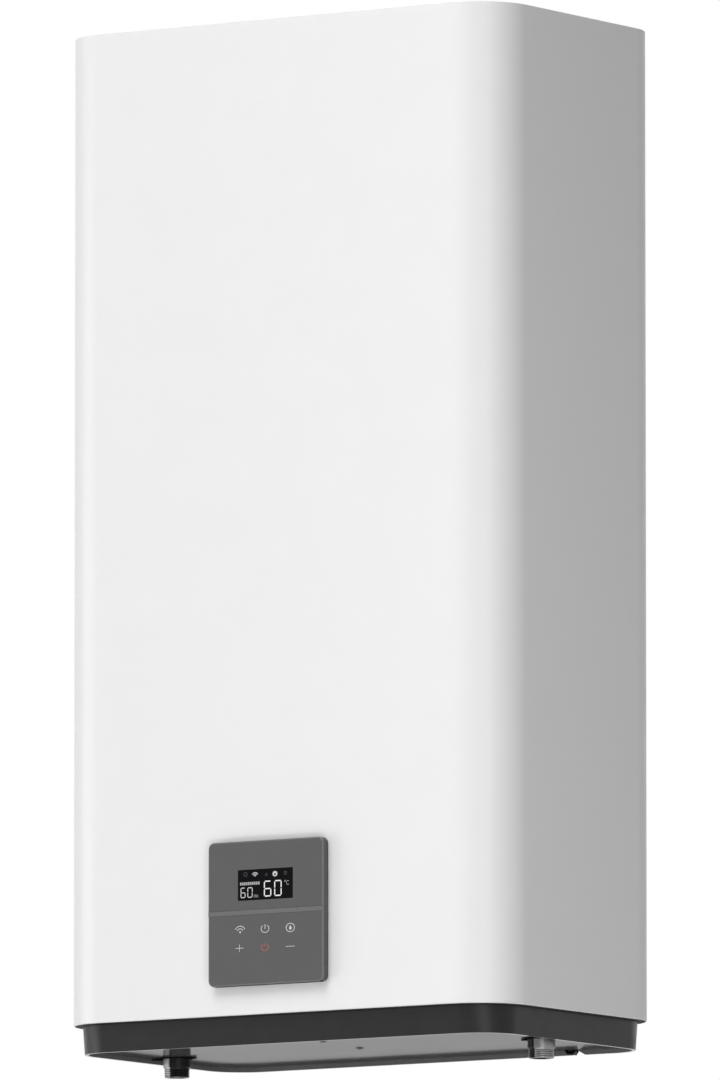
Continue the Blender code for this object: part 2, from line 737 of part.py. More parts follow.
def build_tank(name, x, port_radii):
    """port_radii gives each port's hole radius by the side of the tank's axis that it is on."""
    low_rim = TANK_BASE + DOME_DEPTH
    high_rim = TANK_TOP - DOME_DEPTH
    inner = TANK_RADIUS - TANK_WALL
    inner_depth = DOME_DEPTH - TANK_WALL
    profile = dome_points(TANK_RADIUS, DOME_DEPTH, high_rim, 90, 0, 1)
    neck_angle = dome_angle(NECK_RADIUS, TANK_RADIUS)
    profile += dome_points(TANK_RADIUS, DOME_DEPTH, low_rim, 0, neck_angle, -1)
    profile += [(NECK_RADIUS, NECK_FACE), (NECK_BORE, NECK_FACE)]
    bore_angle = dome_angle(NECK_BORE, inner)
    profile += dome_points(inner, inner_depth, low_rim, bore_angle, 0, -1)
    profile += dome_points(inner, inner_depth, high_rim, 0, 90, 1)
    profile[0] = (0, TANK_TOP)
    profile[-1] = (0, TANK_TOP - TANK_WALL)
    tank = turned(name, profile, TANK_SIDES, MATERIALS["enamel"], (x, 0, 0), closed=False)
    for side, radius in port_radii.items():
        at = (x + side * PORT_OFFSET, PIPE_Y if side * x > 0 else 0, 0)
        cut(tank, cylinder(f"{name}_port", radius, NECK_FACE, PIPE_TOP + PIPE_INSET, PIPE_SIDES, at=at))
    for u, v in bolt_places(x):
        hole = BOLT_RADIUS + SEAT_GAP
        low, high = NECK_FACE - OVERRUN, NECK_FACE + BOLT_REACH + 2 * SEAT_GAP
        cut(tank, cylinder(f"{name}_bolt_hole", hole, low, high, BOLT_SIDES, at=(u, v, 0)))


def bolt_places(x):
    turns = [math.tau * (k + 0.5) / BOLT_COUNT for k in range(BOLT_COUNT)]
    return [(x + BOLT_CIRCLE * math.cos(t), BOLT_CIRCLE * math.sin(t)) for t in turns]


def build_foam():
    step = CASING_HEIGHT - CAP_FLANGE - SEAT_GAP
    upper_inset = FOAM_INSET + CAP_WALL + SEAT_GAP
    top = CASING_HEIGHT - CAP_WALL - SEAT_GAP

    def outline(inset):
        return rounded_rectangle(
            -CASING_WIDTH / 2 + inset,
            CASING_WIDTH / 2 - inset,
            FRONT + inset,
            min(BACK_MARGIN - SEAT_GAP, REAR - inset),
            CASING_CORNER - inset,
        )

    rings = [level(outline(FOAM_INSET), z) for z in (FOAM_BOTTOM, step)]
    rings += [level(outline(upper_inset), z) for z in (step, top)]
    foam = loft("foam_insulation", rings, MATERIALS["foam"])
    radius = TANK_RADIUS + SEAT_GAP
    for side in (-1, 1):
        profile = [(0, FOAM_BOTTOM - OVERRUN), (radius, FOAM_BOTTOM - OVERRUN)]
        profile += dome_points(radius, DOME_DEPTH, TANK_TOP - DOME_DEPTH + SEAT_GAP, 0, 90, 1)
        profile[-1] = (0, TANK_TOP + SEAT_GAP)
        cut(foam, turned("tank_cavity", profile, TANK_SIDES, at=(side * TANK_X, 0, 0), closed=False))
    pocket = panel_outline(BOSS_INSET - SEAT_GAP)
    ends = (FRONT - OVERRUN, BOSS_REAR + SEAT_GAP)
    cut(foam, loft("panel_pocket", [upright(pocket, y) for y in ends]))
    for cutter in leg_windows("foam", TANK_RADIUS - CASING_FLANGE):
        cut(foam, cutter)


def build_nipple(name, x):
    low = -PIPE_DROP
    profile = [
        (PIPE_BORE, low),
        (PIPE_RADIUS - PIPE_CHAMFER, low),
        (PIPE_RADIUS, low + PIPE_CHAMFER),
        (PIPE_RADIUS, -SHOULDER_DROP),
        (SHOULDER_RADIUS, -SHOULDER_DROP),
        (SHOULDER_RADIUS, PLATE_HIGH + SHOULDER_RISE),
        (PIPE_RADIUS, PLATE_HIGH + SHOULDER_RISE),
        (PIPE_RADIUS, PIPE_TOP),
        (PIPE_BORE, PIPE_TOP),
    ]
    turned(name, profile, PIPE_SIDES, MATERIALS["steel"], (x, PIPE_Y, 0))


def build_collar(name, side):
    """A flat washer under the plate with two ears, the outer one reaching almost to the skirt."""
    x = side * PIPE_X
    outer = CASING_WIDTH / 2 - SKIRT_INNER_INSET - COLLAR_SKIRT_CLEAR
    inner = PIPE_X - COLLAR_EAR_REACH
    high = PLATE_LOW - SEAT_GAP
    low = high - COLLAR_WALL
    washer = cylinder(name, COLLAR_RADIUS, low, high, PIPE_SIDES)
    washer.location = (x, PIPE_Y, 0)
    washer.data.materials.append(MATERIALS["black_plastic"])
    centre = side * (outer + inner) / 2
    turns = [math.tau * k / PIPE_SIDES for k in range(PIPE_SIDES)]
    length, depth = (outer - inner) / 2, COLLAR_EAR_DEPTH / 2
    ellipse = [(centre + length * math.cos(t), PIPE_Y + depth * math.sin(t)) for t in turns]
    join(washer, loft(f"{name}_ears", [level(ellipse, z) for z in (low, high)]))
    bore = SHOULDER_RADIUS + SEAT_GAP
    cut(washer, cylinder(f"{name}_bore", bore, low - OVERRUN, high + OVERRUN, PIPE_SIDES, at=(x, PIPE_Y, 0)))


def build_diffuser():
    """The cap on the cold pipe's inner end, which turns the flow sideways through its slots."""
    low = PIPE_TOP - DIFFUSER_GRIP
    high = PIPE_TOP + DIFFUSER_RISE
    bore = PIPE_RADIUS + SEAT_GAP
    profile = [
        (bore, low),
        (DIFFUSER_RADIUS, low),
        (DIFFUSER_RADIUS, high),
        (0, high),
        (0, high - DIFFUSER_ROOF),
        (bore, high - DIFFUSER_ROOF),
    ]
    cap = turned("inlet_diffuser", profile, PIPE_SIDES, MATERIALS["white_plastic"], (PIPE_X, PIPE_Y, 0))
    long = DIFFUSER_RADIUS + OVERRUN
    short = DIFFUSER_SLOT / 2
    for half_x, half_y in ((long, short), (short, long)):
        slot_low = (PIPE_X - half_x, PIPE_Y - half_y, PIPE_TOP + DIFFUSER_SLOT_LOW)
        slot_high = (PIPE_X + half_x, PIPE_Y + half_y, PIPE_TOP + DIFFUSER_SLOT_HIGH)
        cut(cap, block("diffuser_slot", slot_low, slot_high))


def build_hot_standpipe():
    radius = PIPE_BORE - SEAT_GAP
    bore = radius - STANDPIPE_WALL
    low = PIPE_TOP - STANDPIPE_PLUG
    profile = [(bore, low), (radius, low), (radius, STANDPIPE_TOP), (bore, STANDPIPE_TOP)]
    turned("hot_standpipe", profile, SMALL_SIDES, MATERIALS["white_plastic"], (-PIPE_X, PIPE_Y, 0))


def build_transfer_pipe():
    """Draws from the top of the right tank, passes under the necks and rises into the left tank."""
    x = TANK_X - PORT_OFFSET
    bend = TRANSFER_BEND
    high = TRANSFER_LOW + bend
    path = [(x, STANDPIPE_TOP)]
    path += arc(x - bend, high, bend, 0, -90, BEND_STEPS)
    path += arc(-x + bend, high, bend, 270, 180, BEND_STEPS)
    path += [(-x, TANK_BASE + TRANSFER_INSET)]
    path = [(u, 0, v) for u, v in path]
    bent_pipe("transfer_pipe", path, TRANSFER_RADIUS, TRANSFER_BORE, SMALL_SIDES, MATERIALS["steel"])


# Heads with element, anode and sensor pocket


def build_head(side):
    word = "left" if side < 0 else "right"
    x = side * TANK_X
    plate = cylinder(f"{word}_head", NECK_RADIUS, HEAD_LOW, HEAD_HIGH, PIPE_SIDES, MATERIALS["zinc"], (x, 0, 0))
    low, high = HEAD_LOW - OVERRUN, HEAD_HIGH + OVERRUN
    holes = [(x + s * ELEMENT_SPREAD / 2, 0, ELEMENT_RADIUS, SMALL_SIDES) for s in (-1, 1)]
    holes.append((x, -ANODE_OFFSET, ANODE_STUD_RADIUS, SMALL_SIDES))
    holes.append((x, POCKET_OFFSET, POCKET_RADIUS, SMALL_SIDES))
    holes += [(u, v, BOLT_RADIUS, BOLT_SIDES) for u, v in bolt_places(x)]
    for u, v, radius, sides in holes:
        cut(plate, cylinder(f"{word}_head_hole", radius + SEAT_GAP, low, high, sides, at=(u, v, 0)))

    gasket_low = HEAD_HIGH + SEAT_GAP
    gasket_high = gasket_low + GASKET_WALL
    ring = [
        (NECK_BORE, gasket_low),
        (GASKET_RADIUS, gasket_low),
        (GASKET_RADIUS, gasket_high),
        (NECK_BORE, gasket_high),
    ]
    turned(f"{word}_gasket", ring, PIPE_SIDES, MATERIALS["rubber"], (x, 0, 0))

    for number, (u, v) in enumerate(bolt_places(x), start=1):
        build_head_bolt(f"{word}_head_bolt_{number}", u, v)
    build_element(f"{word}_element", x)
    build_anode(f"{word}_anode", x)
    build_pocket(f"{word}_sensor_pocket", x)


def build_head_bolt(name, x, y):
    top = HEAD_LOW - SEAT_GAP
    low = top - BOLT_HEAD_HEIGHT
    bolt = cylinder(name, BOLT_HEAD_RADIUS, low, top, HEX_SIDES, MATERIALS["zinc"], (x, y, 0))
    start = top - BOLT_HEAD_HEIGHT / 2
    end = NECK_FACE + BOLT_REACH
    join(bolt, cylinder(f"{name}_shank", BOLT_RADIUS, start, end, BOLT_SIDES, at=(x, y, 0)))


def build_element(name, x):
    bend = ELEMENT_SPREAD / 2
    start = HEAD_LOW - ELEMENT_PIN
    top = HEAD_HIGH + ELEMENT_REACH - bend
    path = [(x + bend, start)] + arc(x, top, bend, 0, 180, CORNER_STEPS) + [(x - bend, start)]
    rings = tube_rings([(u, 0, v) for u, v in path], ELEMENT_RADIUS, SMALL_SIDES)
    loft(name, rings, MATERIALS["copper"])


def build_anode(name, x):
    base = HEAD_HIGH + SEAT_GAP
    stud = ANODE_STUD_RADIUS
    low = HEAD_LOW - ANODE_STUD_REACH
    profile = [(0, low), (stud, low), (stud, base), (ANODE_RADIUS, base)]
    profile += [(ANODE_RADIUS, base + ANODE_LENGTH), (0, base + ANODE_LENGTH)]
    turned(name, profile, SMALL_SIDES, MATERIALS["magnesium"], (x, -ANODE_OFFSET, 0), closed=False)


def build_pocket(name, x):
    low = HEAD_LOW - POCKET_LIP
    high = HEAD_HIGH + POCKET_LENGTH
    profile = [
        (POCKET_BORE, low),
        (POCKET_RADIUS, low),
        (POCKET_RADIUS, high),
        (0, high),
        (0, high - POCKET_LIP),
        (POCKET_BORE, high - POCKET_LIP),
    ]
    turned(name, profile, SMALL_SIDES, MATERIALS["copper"], (x, POCKET_OFFSET, 0))


def build_probe(name, x, route, material):
    """A sensor in its pocket and the fine line that leaves it, as one piece."""
    low = HEAD_LOW
    probe = cylinder(name, POCKET_BORE - SEAT_GAP, low, low + PROBE_LENGTH, SMALL_SIDES, material)
    probe.location = (x, POCKET_OFFSET, 0)
    start = (x, POCKET_OFFSET, low + OVERRUN)
    rings = tube_rings(smooth_path([start, *route], LEAD_STEPS), FINE_LEAD_RADIUS, HEX_SIDES)
    join(probe, loft(f"{name}_line", rings))


# Control panel


def build_panel_housing():
    """A boss through the casing, a flange drawn in for a shadow line, and a spigot for the cover."""
    spigot = PANEL_WALL + SEAT_GAP
    base = FRONT - PANEL_BASE + SEAT_GAP
    steps = (
        (BOSS_INSET, BOSS_REAR),
        (BOSS_INSET, FRONT - SEAT_GAP),
        (PANEL_BASE_INSET, FRONT - SEAT_GAP),
        (PANEL_BASE_INSET, base),
        (spigot, base),
        (spigot, PANEL_FLOOR),
    )
    rings = [upright(panel_outline(inset), y) for inset, y in steps]
    housing = loft("panel_housing", rings, MATERIALS["panel_grey"])
    cavity = panel_outline(BOSS_INSET + PANEL_WALL)
    cut(housing, loft("board_cavity", [upright(cavity, y) for y in (PANEL_INNER, BOSS_REAR + OVERRUN)]))
    window = display_outline(-DISPLAY_SEAT)
    ends = (PANEL_FLOOR - OVERRUN, PANEL_INNER + OVERRUN)
    cut(housing, loft("display_opening", [upright(window, y) for y in ends]))


def display_outline(grow):
    middle = PANEL_RISE + DISPLAY_RISE
    half_width = DISPLAY_WIDTH / 2 + grow
    half_height = DISPLAY_HEIGHT / 2 + grow
    return [
        (DISPLAY_SHIFT - half_width, middle - half_height),
        (DISPLAY_SHIFT + half_width, middle - half_height),
        (DISPLAY_SHIFT + half_width, middle + half_height),
        (DISPLAY_SHIFT - half_width, middle + half_height),
    ]


def build_panel_face():
    """The cover: a bevelled shell over the housing's spigot, with a shallow band across its face."""
    back = FRONT - PANEL_BASE
    floor = PANEL_FACE + PANEL_FACE_WALL
    steps = (
        (PANEL_WALL, floor),
        (PANEL_WALL, back),
        (0, back),
        (0, PANEL_FACE + PANEL_BEVEL),
        (PANEL_BEVEL / 3, PANEL_FACE + PANEL_BEVEL / 3),
        (PANEL_BEVEL, PANEL_FACE),
    )
    rings = [upright(panel_outline(inset), y) for inset, y in steps]
    face = loft("panel_face", rings, MATERIALS["panel_grey"])
    window = display_outline(SEAT_GAP)
    ends = (PANEL_FACE - OVERRUN, floor + OVERRUN)
    cut(face, loft("face_window", [upright(window, y) for y in ends]))
    half = PANEL_WIDTH / 2 + OVERRUN
    low = PANEL_RISE + PANEL_STRIPE_RISE
    band_low = (PANEL_SHIFT - half, PANEL_FACE - OVERRUN, low)
    band_high = (PANEL_SHIFT + half, PANEL_FACE + PANEL_STRIPE_DEPTH, low + PANEL_STRIPE_HEIGHT)
    cut(face, block("band_groove", band_low, band_high))


def build_display_window():
    ends = (PANEL_FACE, PANEL_FACE + PANEL_FACE_WALL)
    loft("display_window", [upright(display_outline(0), y) for y in ends], MATERIALS["display_black"])


def build_display_board():
    front = DISPLAY_BOARD_FRONT
    back = front + BOARD_WALL
    outline = panel_outline(BOSS_INSET + PANEL_WALL + SEAT_GAP)
    board = loft("display_board", [upright(outline, y) for y in (front, back)], MATERIALS["board_green"])
    module = display_outline(-DISPLAY_SEAT - SEAT_GAP)
    ends = (front - MODULE_DEPTH, front + BOARD_WALL / 2)
    join(board, loft("display_module", [upright(module, y) for y in ends]))
    for rise in KEY_ROW_RISES:
        for column in (-1, 0, 1):
            key = cylinder("touch_spring", KEY_RADIUS, 0, MODULE_DEPTH + BOARD_WALL / 2, SMALL_SIDES)
            place = (DISPLAY_SHIFT + column * KEY_SPACING, front - MODULE_DEPTH, PANEL_RISE + rise)
            lay_along_y(key, place)
            join(board, key)
    size = (PLUG_SIZE, PLUG_DEPTH + BOARD_WALL / 2, PLUG_SIZE)
    centre = (SIGNAL_SHIFT, back + PLUG_DEPTH / 2 - BOARD_WALL / 4, SIGNAL_HEIGHT)
    join(board, centred_block("display_plug", centre, size))


# Electronics box and its board


def build_electronics_box():
    """A moulded box, open below, with two feet on the casing's turned-in bottom flange."""
    half = BOX_HALF_WIDTH
    box = block("electronics_box", (-half, BOX_FRONT, BOX_BASE), (half, BOX_REAR, BOX_TOP))
    box.data.materials.append(MATERIALS["white_plastic"])
    for side in (-1, 1):
        middle = side * BOX_FOOT_X
        low = (middle - BOX_FOOT_WIDTH / 2, FRONT + CASING_HEM + SEAT_GAP, BOX_BASE)
        high = (middle + BOX_FOOT_WIDTH / 2, BOX_FRONT + BOX_WALL / 2, BOX_BASE + BOX_FOOT_WALL)
        join(box, block("box_foot", low, high))
    wall = BOX_WALL
    low = (-half + wall, BOX_FRONT + wall, BOX_BASE - OVERRUN)
    cut(box, block("box_cavity", low, (half - wall, BOX_REAR - wall, BOX_TOP - wall)))
    hole = cylinder("signal_hole", SIGNAL_RADIUS + SEAT_GAP, 0, wall + 2 * OVERRUN, SMALL_SIDES)
    lay_along_y(hole, (SIGNAL_SHIFT, BOX_FRONT - OVERRUN, SIGNAL_HEIGHT))
    cut(box, hole)


def build_electronics_lid():
    """The box's lid, with the post that the plate's front screw goes into."""
    low = (-BOX_HALF_WIDTH, LID_FRONT, LID_LOW)
    lid = block("electronics_lid", low, (BOX_HALF_WIDTH, BOX_REAR, LID_HIGH), MATERIALS["white_plastic"])
    at = (FRONT_SCREW_X, FRONT_SCREW_Y, 0)
    post_low = PLATE_HIGH + SEAT_GAP
    join(lid, cylinder("screw_post", POST_RADIUS, post_low, LID_HIGH - LID_WALL / 2, SMALL_SIDES, at=at))
    depth = PLATE_LOW + SCREW_LENGTH + SEAT_GAP
    low = post_low - OVERRUN
    cut(lid, cylinder("post_hole", SCREW_RADIUS + SEAT_GAP, low, depth, SMALL_SIDES, at=at))


def build_power_board():
    """The power board under the box's roof, with its relays, coil and capacitor hanging from it."""
    high = BOX_TOP - BOX_WALL - POWER_BOARD_DROP
    low = high - BOARD_WALL
    edge = BOX_WALL + SEAT_GAP
    corner = (-BOX_HALF_WIDTH + edge, BOX_FRONT + edge, low)
    board = block("power_board", corner, (BOX_HALF_WIDTH - edge, BOX_REAR - edge, high))
    board.data.materials.append(MATERIALS["board_green"])
    seat = low + BOARD_WALL / 2
    relay = (RELAY_LENGTH, RELAY_DEPTH, RELAY_HEIGHT)
    coil = (COIL_LENGTH, COIL_DEPTH, COIL_HEIGHT)
    first = RELAY_INSET - BOX_HALF_WIDTH
    for x, size in ((first, relay), (first + RELAY_PITCH, relay), (BOX_HALF_WIDTH - COIL_INSET, coil)):
        join(board, centred_block("board_part", (x, BOX_MIDDLE, seat - size[2] / 2), size))
    at = (0, BOX_MIDDLE, 0)
    join(board, cylinder("capacitor", CAPACITOR_RADIUS, seat - CAPACITOR_HEIGHT, seat, SMALL_SIDES, at=at))
    header_low = SIGNAL_HEIGHT - PLUG_SIZE / 2
    front = BOX_FRONT + BOX_WALL + PLUG_SIZE
    low_corner = (SIGNAL_SHIFT - PLUG_SIZE / 2, front, header_low)
    high_corner = (SIGNAL_SHIFT + PLUG_SIZE / 2, front + PLUG_SIZE, seat)
    join(board, block("signal_header", low_corner, high_corner))


def build_signal_cable():
    start = DISPLAY_BOARD_FRONT + BOARD_WALL + PLUG_DEPTH + SEAT_GAP
    end = BOX_FRONT + BOX_WALL + PLUG_SIZE - SEAT_GAP
    ends = [(SIGNAL_SHIFT, start, SIGNAL_HEIGHT), (SIGNAL_SHIFT, end, SIGNAL_HEIGHT)]
    lead("signal_cable", ends, SIGNAL_RADIUS, MATERIALS["black_plastic"])


# Safety cut-out and its reset button


def build_thermal_cutout():
    low = (CUTOUT_SHIFT - CUTOUT_HALF_WIDTH, CUTOUT_FRONT, CUTOUT_BASE)
    high = (CUTOUT_SHIFT + CUTOUT_HALF_WIDTH, CUTOUT_FRONT + CUTOUT_DEPTH, CUTOUT_BASE + CUTOUT_HEIGHT)
    body = block("thermal_cutout", low, high, MATERIALS["black_plastic"])
    bore = BUTTON_STEM_RADIUS + SEAT_GAP
    low_end = CUTOUT_BASE - OVERRUN
    high_end = CUTOUT_BASE + BUTTON_STEM_LENGTH
    at = (CUTOUT_SHIFT, BUTTON_Y, 0)
    cut(body, cylinder("button_bore", bore, low_end, high_end, SMALL_SIDES, at=at))


def build_reset_button():
    """The button that is pushed up into the cut-out. Its origin is on its travel axis, at its cap's top."""
    travel = BUTTON_STROKE + SEAT_GAP
    stem = BUTTON_STEM_LENGTH - SEAT_GAP
    profile = [
        (0, -BUTTON_CAP_HEIGHT),
        (BUTTON_CAP_RADIUS, -BUTTON_CAP_HEIGHT),
        (BUTTON_CAP_RADIUS, 0),
        (BUTTON_STEM_RADIUS, 0),
        (BUTTON_STEM_RADIUS, stem),
        (0, stem),
    ]
    at = (CUTOUT_SHIFT, BUTTON_Y, CUTOUT_BASE - travel)
    turned("cutout_reset_button", profile, SMALL_SIDES, MATERIALS["button_red"], at, closed=False)


def build_cutout_line():
    """The cut-out's bulb in the left pocket, and the capillary that joins them."""
    face = CUTOUT_FRONT + CUTOUT_DEPTH + SEAT_GAP
    x = -TANK_X
    gap = TANK_X + CUTOUT_SHIFT
    route = [(x, POCKET_OFFSET, HEAD_LOW - ELEMENT_PIN)]
    for along, aside, below in BULB_LINE_SHARES:
        route.append((x + gap * along, POCKET_OFFSET * aside, HEAD_LOW - ELEMENT_PIN * below))
    route.append((CUTOUT_SHIFT, face * BULB_LINE_END_SHARE, CUTOUT_CAPILLARY_HEIGHT))
    route.append((CUTOUT_SHIFT, face, CUTOUT_CAPILLARY_HEIGHT))
    build_probe("cutout_bulb_line", x, route, MATERIALS["copper"])


def build_sensor_line():
    """The temperature sensor in the right pocket, with its lead to the side of the electronics box."""
    x = TANK_X
    low = HEAD_LOW - 2 * ELEMENT_PIN
    side = BOX_HALF_WIDTH + SEAT_GAP
    leave, aside, turn, back, near = SENSOR_LINE_SHARES
    route = [
        (x, POCKET_OFFSET, HEAD_LOW - ELEMENT_PIN),
        (x + NECK_RADIUS * leave, POCKET_OFFSET * aside, low),
        (x + NECK_RADIUS, 0, low),
        (x + NECK_RADIUS * turn, BOX_REAR * back, low),
        (x + NECK_RADIUS * near, BOX_MIDDLE, CUTOUT_CAPILLARY_HEIGHT),
        (side, BOX_MIDDLE, CUTOUT_CAPILLARY_HEIGHT),
    ]
    build_probe("temperature_sensor_line", x, route, MATERIALS["black_plastic"])


# Mains entry and wiring


def build_cable_gland():
    start = SKIRT_WALL_INNER - SEAT_GAP
    through = SKIRT_WALL_OUTER + SEAT_GAP
    length = through + GLAND_FLANGE_WALL - start
    profile = [
        (0, -GLAND_NUT_WALL / 2),
        (GLAND_RADIUS, -GLAND_NUT_WALL / 2),
        (GLAND_RADIUS, through - start),
        (GLAND_FLANGE_RADIUS, through - start),
        (GLAND_FLANGE_RADIUS, length),
        (0, length),
    ]
    gland = turned("cable_gland", profile, PIPE_SIDES, MATERIALS["black_plastic"], closed=False)
    at = (GLAND_X, start, GLAND_HEIGHT)
    lay_along_y(gland, at)
    nut = cylinder("gland_nut", GLAND_NUT_RADIUS, -GLAND_NUT_WALL, 0, HEX_SIDES)
    lay_along_y(nut, at)
    join(gland, nut)
    bore = cylinder("gland_bore", GLAND_BORE, -GLAND_NUT_WALL - OVERRUN, length + OVERRUN, SMALL_SIDES)
    lay_along_y(bore, at)
    cut(gland, bore)


def build_terminal_block():
    y = BACK_FIELD - SEAT_GAP - TERMINAL_DEPTH / 2
    size = (TERMINAL_LENGTH, TERMINAL_DEPTH, TERMINAL_HEIGHT)
    terminals = centred_block("terminal_block", (TERMINAL_X, y, TERMINAL_LEVEL), size)
    terminals.data.materials.append(MATERIALS["white_plastic"])
    pitch = TERMINAL_LENGTH / TERMINAL_POLES
    groove = (TERMINAL_GROOVE, 2 * TERMINAL_GROOVE_DEPTH, TERMINAL_HEIGHT + 2 * OVERRUN)
    for pole in range(TERMINAL_POLES):
        x = TERMINAL_X + (pole - (TERMINAL_POLES - 1) / 2) * pitch
        cut(terminals, centred_block("pole_groove", (x, y - TERMINAL_DEPTH / 2, TERMINAL_LEVEL), groove))


def build_earth_stud():
    nut_start = EARTH_NUT_WALL
    profile = [
        (0, 0),
        (EARTH_NUT_RADIUS, 0),
        (EARTH_NUT_RADIUS, nut_start),
        (EARTH_RADIUS, nut_start),
        (EARTH_RADIUS, EARTH_LENGTH),
        (0, EARTH_LENGTH),
    ]
    stud = turned("earth_stud", profile, SMALL_SIDES, MATERIALS["zinc"], closed=False)
    stud.rotation_euler = (math.pi / 2, 0, 0)
    stud.location = (EARTH_X, BACK_FIELD - SEAT_GAP, TERMINAL_LEVEL)


def build_element_lead(side):
    word = "left" if side < 0 else "right"
    pin = TANK_X - ELEMENT_SPREAD / 2
    low = HEAD_LOW - 2 * ELEMENT_PIN
    face = BOX_REAR + SEAT_GAP
    first, second = ELEMENT_LEAD_SHARES
    points = [
        (pin, 0, HEAD_LOW - ELEMENT_PIN - 3 * SEAT_GAP),
        (pin, 0, (low + HEAD_LOW - ELEMENT_PIN) / 2),
        (pin - LEAD_RADIUS, face * first, low),
        (BOX_FOOT_X, face * second, low),
        (BOX_FOOT_X, face, low),
    ]
    points = [(side * x, y, z) for x, y, z in points]
    lead(f"{word}_element_lead", points, LEAD_RADIUS, MATERIALS["rubber"])


def build_mains_lead():
    """The inner stretch of the supply, from the terminal block to the electronics box."""
    x = TERMINAL_X - TERMINAL_LENGTH / 2 - 3 * SEAT_GAP
    depth, start, middle, near, end = MAINS_LEAD_SHARES
    y = BACK_FIELD - TERMINAL_DEPTH * depth
    face = BOX_REAR + SEAT_GAP
    lane = (TANK_X - NECK_RADIUS + TANK_X - PORT_OFFSET + TRANSFER_RADIUS) / 2
    low = TRANSFER_LOW - TRANSFER_BEND
    points = [
        (x, y, TERMINAL_LEVEL),
        (x - 3 * LEAD_RADIUS, y, TERMINAL_LEVEL),
        (x - BOX_FOOT_WIDTH, y - BOX_FOOT_WIDTH / 2, TERMINAL_LEVEL - BOX_FOOT_WIDTH),
        ((x + lane) / 2, y * start, TRANSFER_LOW),
        (lane, y * middle, low),
        (lane, face * near, low),
        (lane, face * end, TRANSFER_LOW),
        (lane, face, TRANSFER_LOW),
    ]
    lead("mains_lead", points, LEAD_RADIUS, MATERIALS["rubber"])


# Wall rails


def leg_windows(name, front):
    """Cutters for the rails' legs, from a front plane out through the rear."""
    cutters = []
    for middle in (UPPER_RAIL_LEVEL, LOWER_RAIL_LEVEL):
        low = middle - RAIL_HEIGHT / 2 + LEG_RISE
        for side in (-1, 1):
            x = side * TANK_X
            half = LEG_WIDTH / 2 + SEAT_GAP
            corner = (x - half, front, low - SEAT_GAP)
            other = (x + half, REAR + OVERRUN, low + FOOT_HEIGHT + SEAT_GAP)
            cutters.append(block(f"{name}_leg_window", corner, other))
    return cutters


def build_wall_rail(name, overhang, middle):
    """A slotted rail behind the heater, on two legs whose feet are fixed to the tanks."""
    end = TANK_X + overhang
    low = middle - RAIL_HEIGHT / 2
    high = middle + RAIL_HEIGHT / 2
    rail = block(name, (-end, RAIL_FRONT, low), (end, RAIL_BACK, high), MATERIALS["zinc"])
    foot = TANK_RADIUS + SEAT_GAP
    leg = low + LEG_RISE
    outline = (
        (foot, leg),
        (RAIL_FRONT + RAIL_WALL / 2, leg),
        (RAIL_FRONT + RAIL_WALL / 2, leg + RAIL_WALL),
        (foot + RAIL_WALL, leg + RAIL_WALL),
        (foot + RAIL_WALL, leg + FOOT_HEIGHT),
        (foot, leg + FOOT_HEIGHT),
    )
    for side in (-1, 1):
        ends = (side * TANK_X - LEG_WIDTH / 2, side * TANK_X + LEG_WIDTH / 2)
        join(rail, loft(f"{name}_leg", [sideways(outline, x) for x in ends]))
    half_height = SLOT_HEIGHT / 2
    for side in (-1, 1):
        x = side * SLOT_SPACING / 2
        slot = rounded_rectangle(
            x - SLOT_WIDTH / 2,
            x + SLOT_WIDTH / 2,
            middle + SLOT_RAISE - half_height,
            middle + SLOT_RAISE + half_height,
            SLOT_CORNER,
            SMALL_CORNER_STEPS,
        )
        ends = (RAIL_FRONT - OVERRUN, RAIL_BACK + OVERRUN)
        cut(rail, loft(f"{name}_slot", [upright(slot, y) for y in ends]))


def build_heater():
    build_outer_casing()
    build_top_cap()
    build_back_panel()
    build_bottom_skirt()
    build_bottom_plate()
    build_plate_screw("plate_screw_middle", 0, 0)
    build_plate_screw("plate_screw_front", FRONT_SCREW_X, FRONT_SCREW_Y)
    build_plate_strap()
    build_foam()
    pipe_port = PIPE_RADIUS + SEAT_GAP
    transfer_port = TRANSFER_RADIUS + SEAT_GAP
    build_tank("left_tank", -TANK_X, {-1: pipe_port, 1: transfer_port})
    build_tank("right_tank", TANK_X, {-1: transfer_port, 1: pipe_port})
    build_nipple("hot_pipe", -PIPE_X)
    build_nipple("cold_pipe", PIPE_X)
    build_collar("hot_pipe_collar", -1)
    build_collar("cold_pipe_collar", 1)
    build_diffuser()
    build_hot_standpipe()
    build_transfer_pipe()
    build_head(-1)
    build_head(1)
    build_panel_housing()
    build_panel_face()
    build_display_window()
    build_display_board()
    build_electronics_box()
    build_electronics_lid()
    build_power_board()
    build_signal_cable()
    build_thermal_cutout()
    build_reset_button()
    build_cutout_line()
    build_sensor_line()
    build_cable_gland()
    build_terminal_block()
    build_earth_stud()
    build_element_lead(-1)
    build_element_lead(1)
    build_mains_lead()
    build_wall_rail("upper_wall_rail", UPPER_RAIL_OVERHANG, UPPER_RAIL_LEVEL)
    build_wall_rail("lower_wall_rail", LOWER_RAIL_OVERHANG, LOWER_RAIL_LEVEL)


clear_scene()
MATERIALS = make_materials()
HEATER = carrier()
build_heater()
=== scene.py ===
"""Looks for the wall-hung storage water heater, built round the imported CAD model.

Everything is in metres, in the CAD's frame: X to the right, Y towards the wall, Z up, with the origin
in the middle of the upper wall rail's back face. Lengths in millimetres count from the casing's middle
in X, from the middle of its depth in Y and from its bottom edge in Z, and mm() turns them into metres.
"""

import math

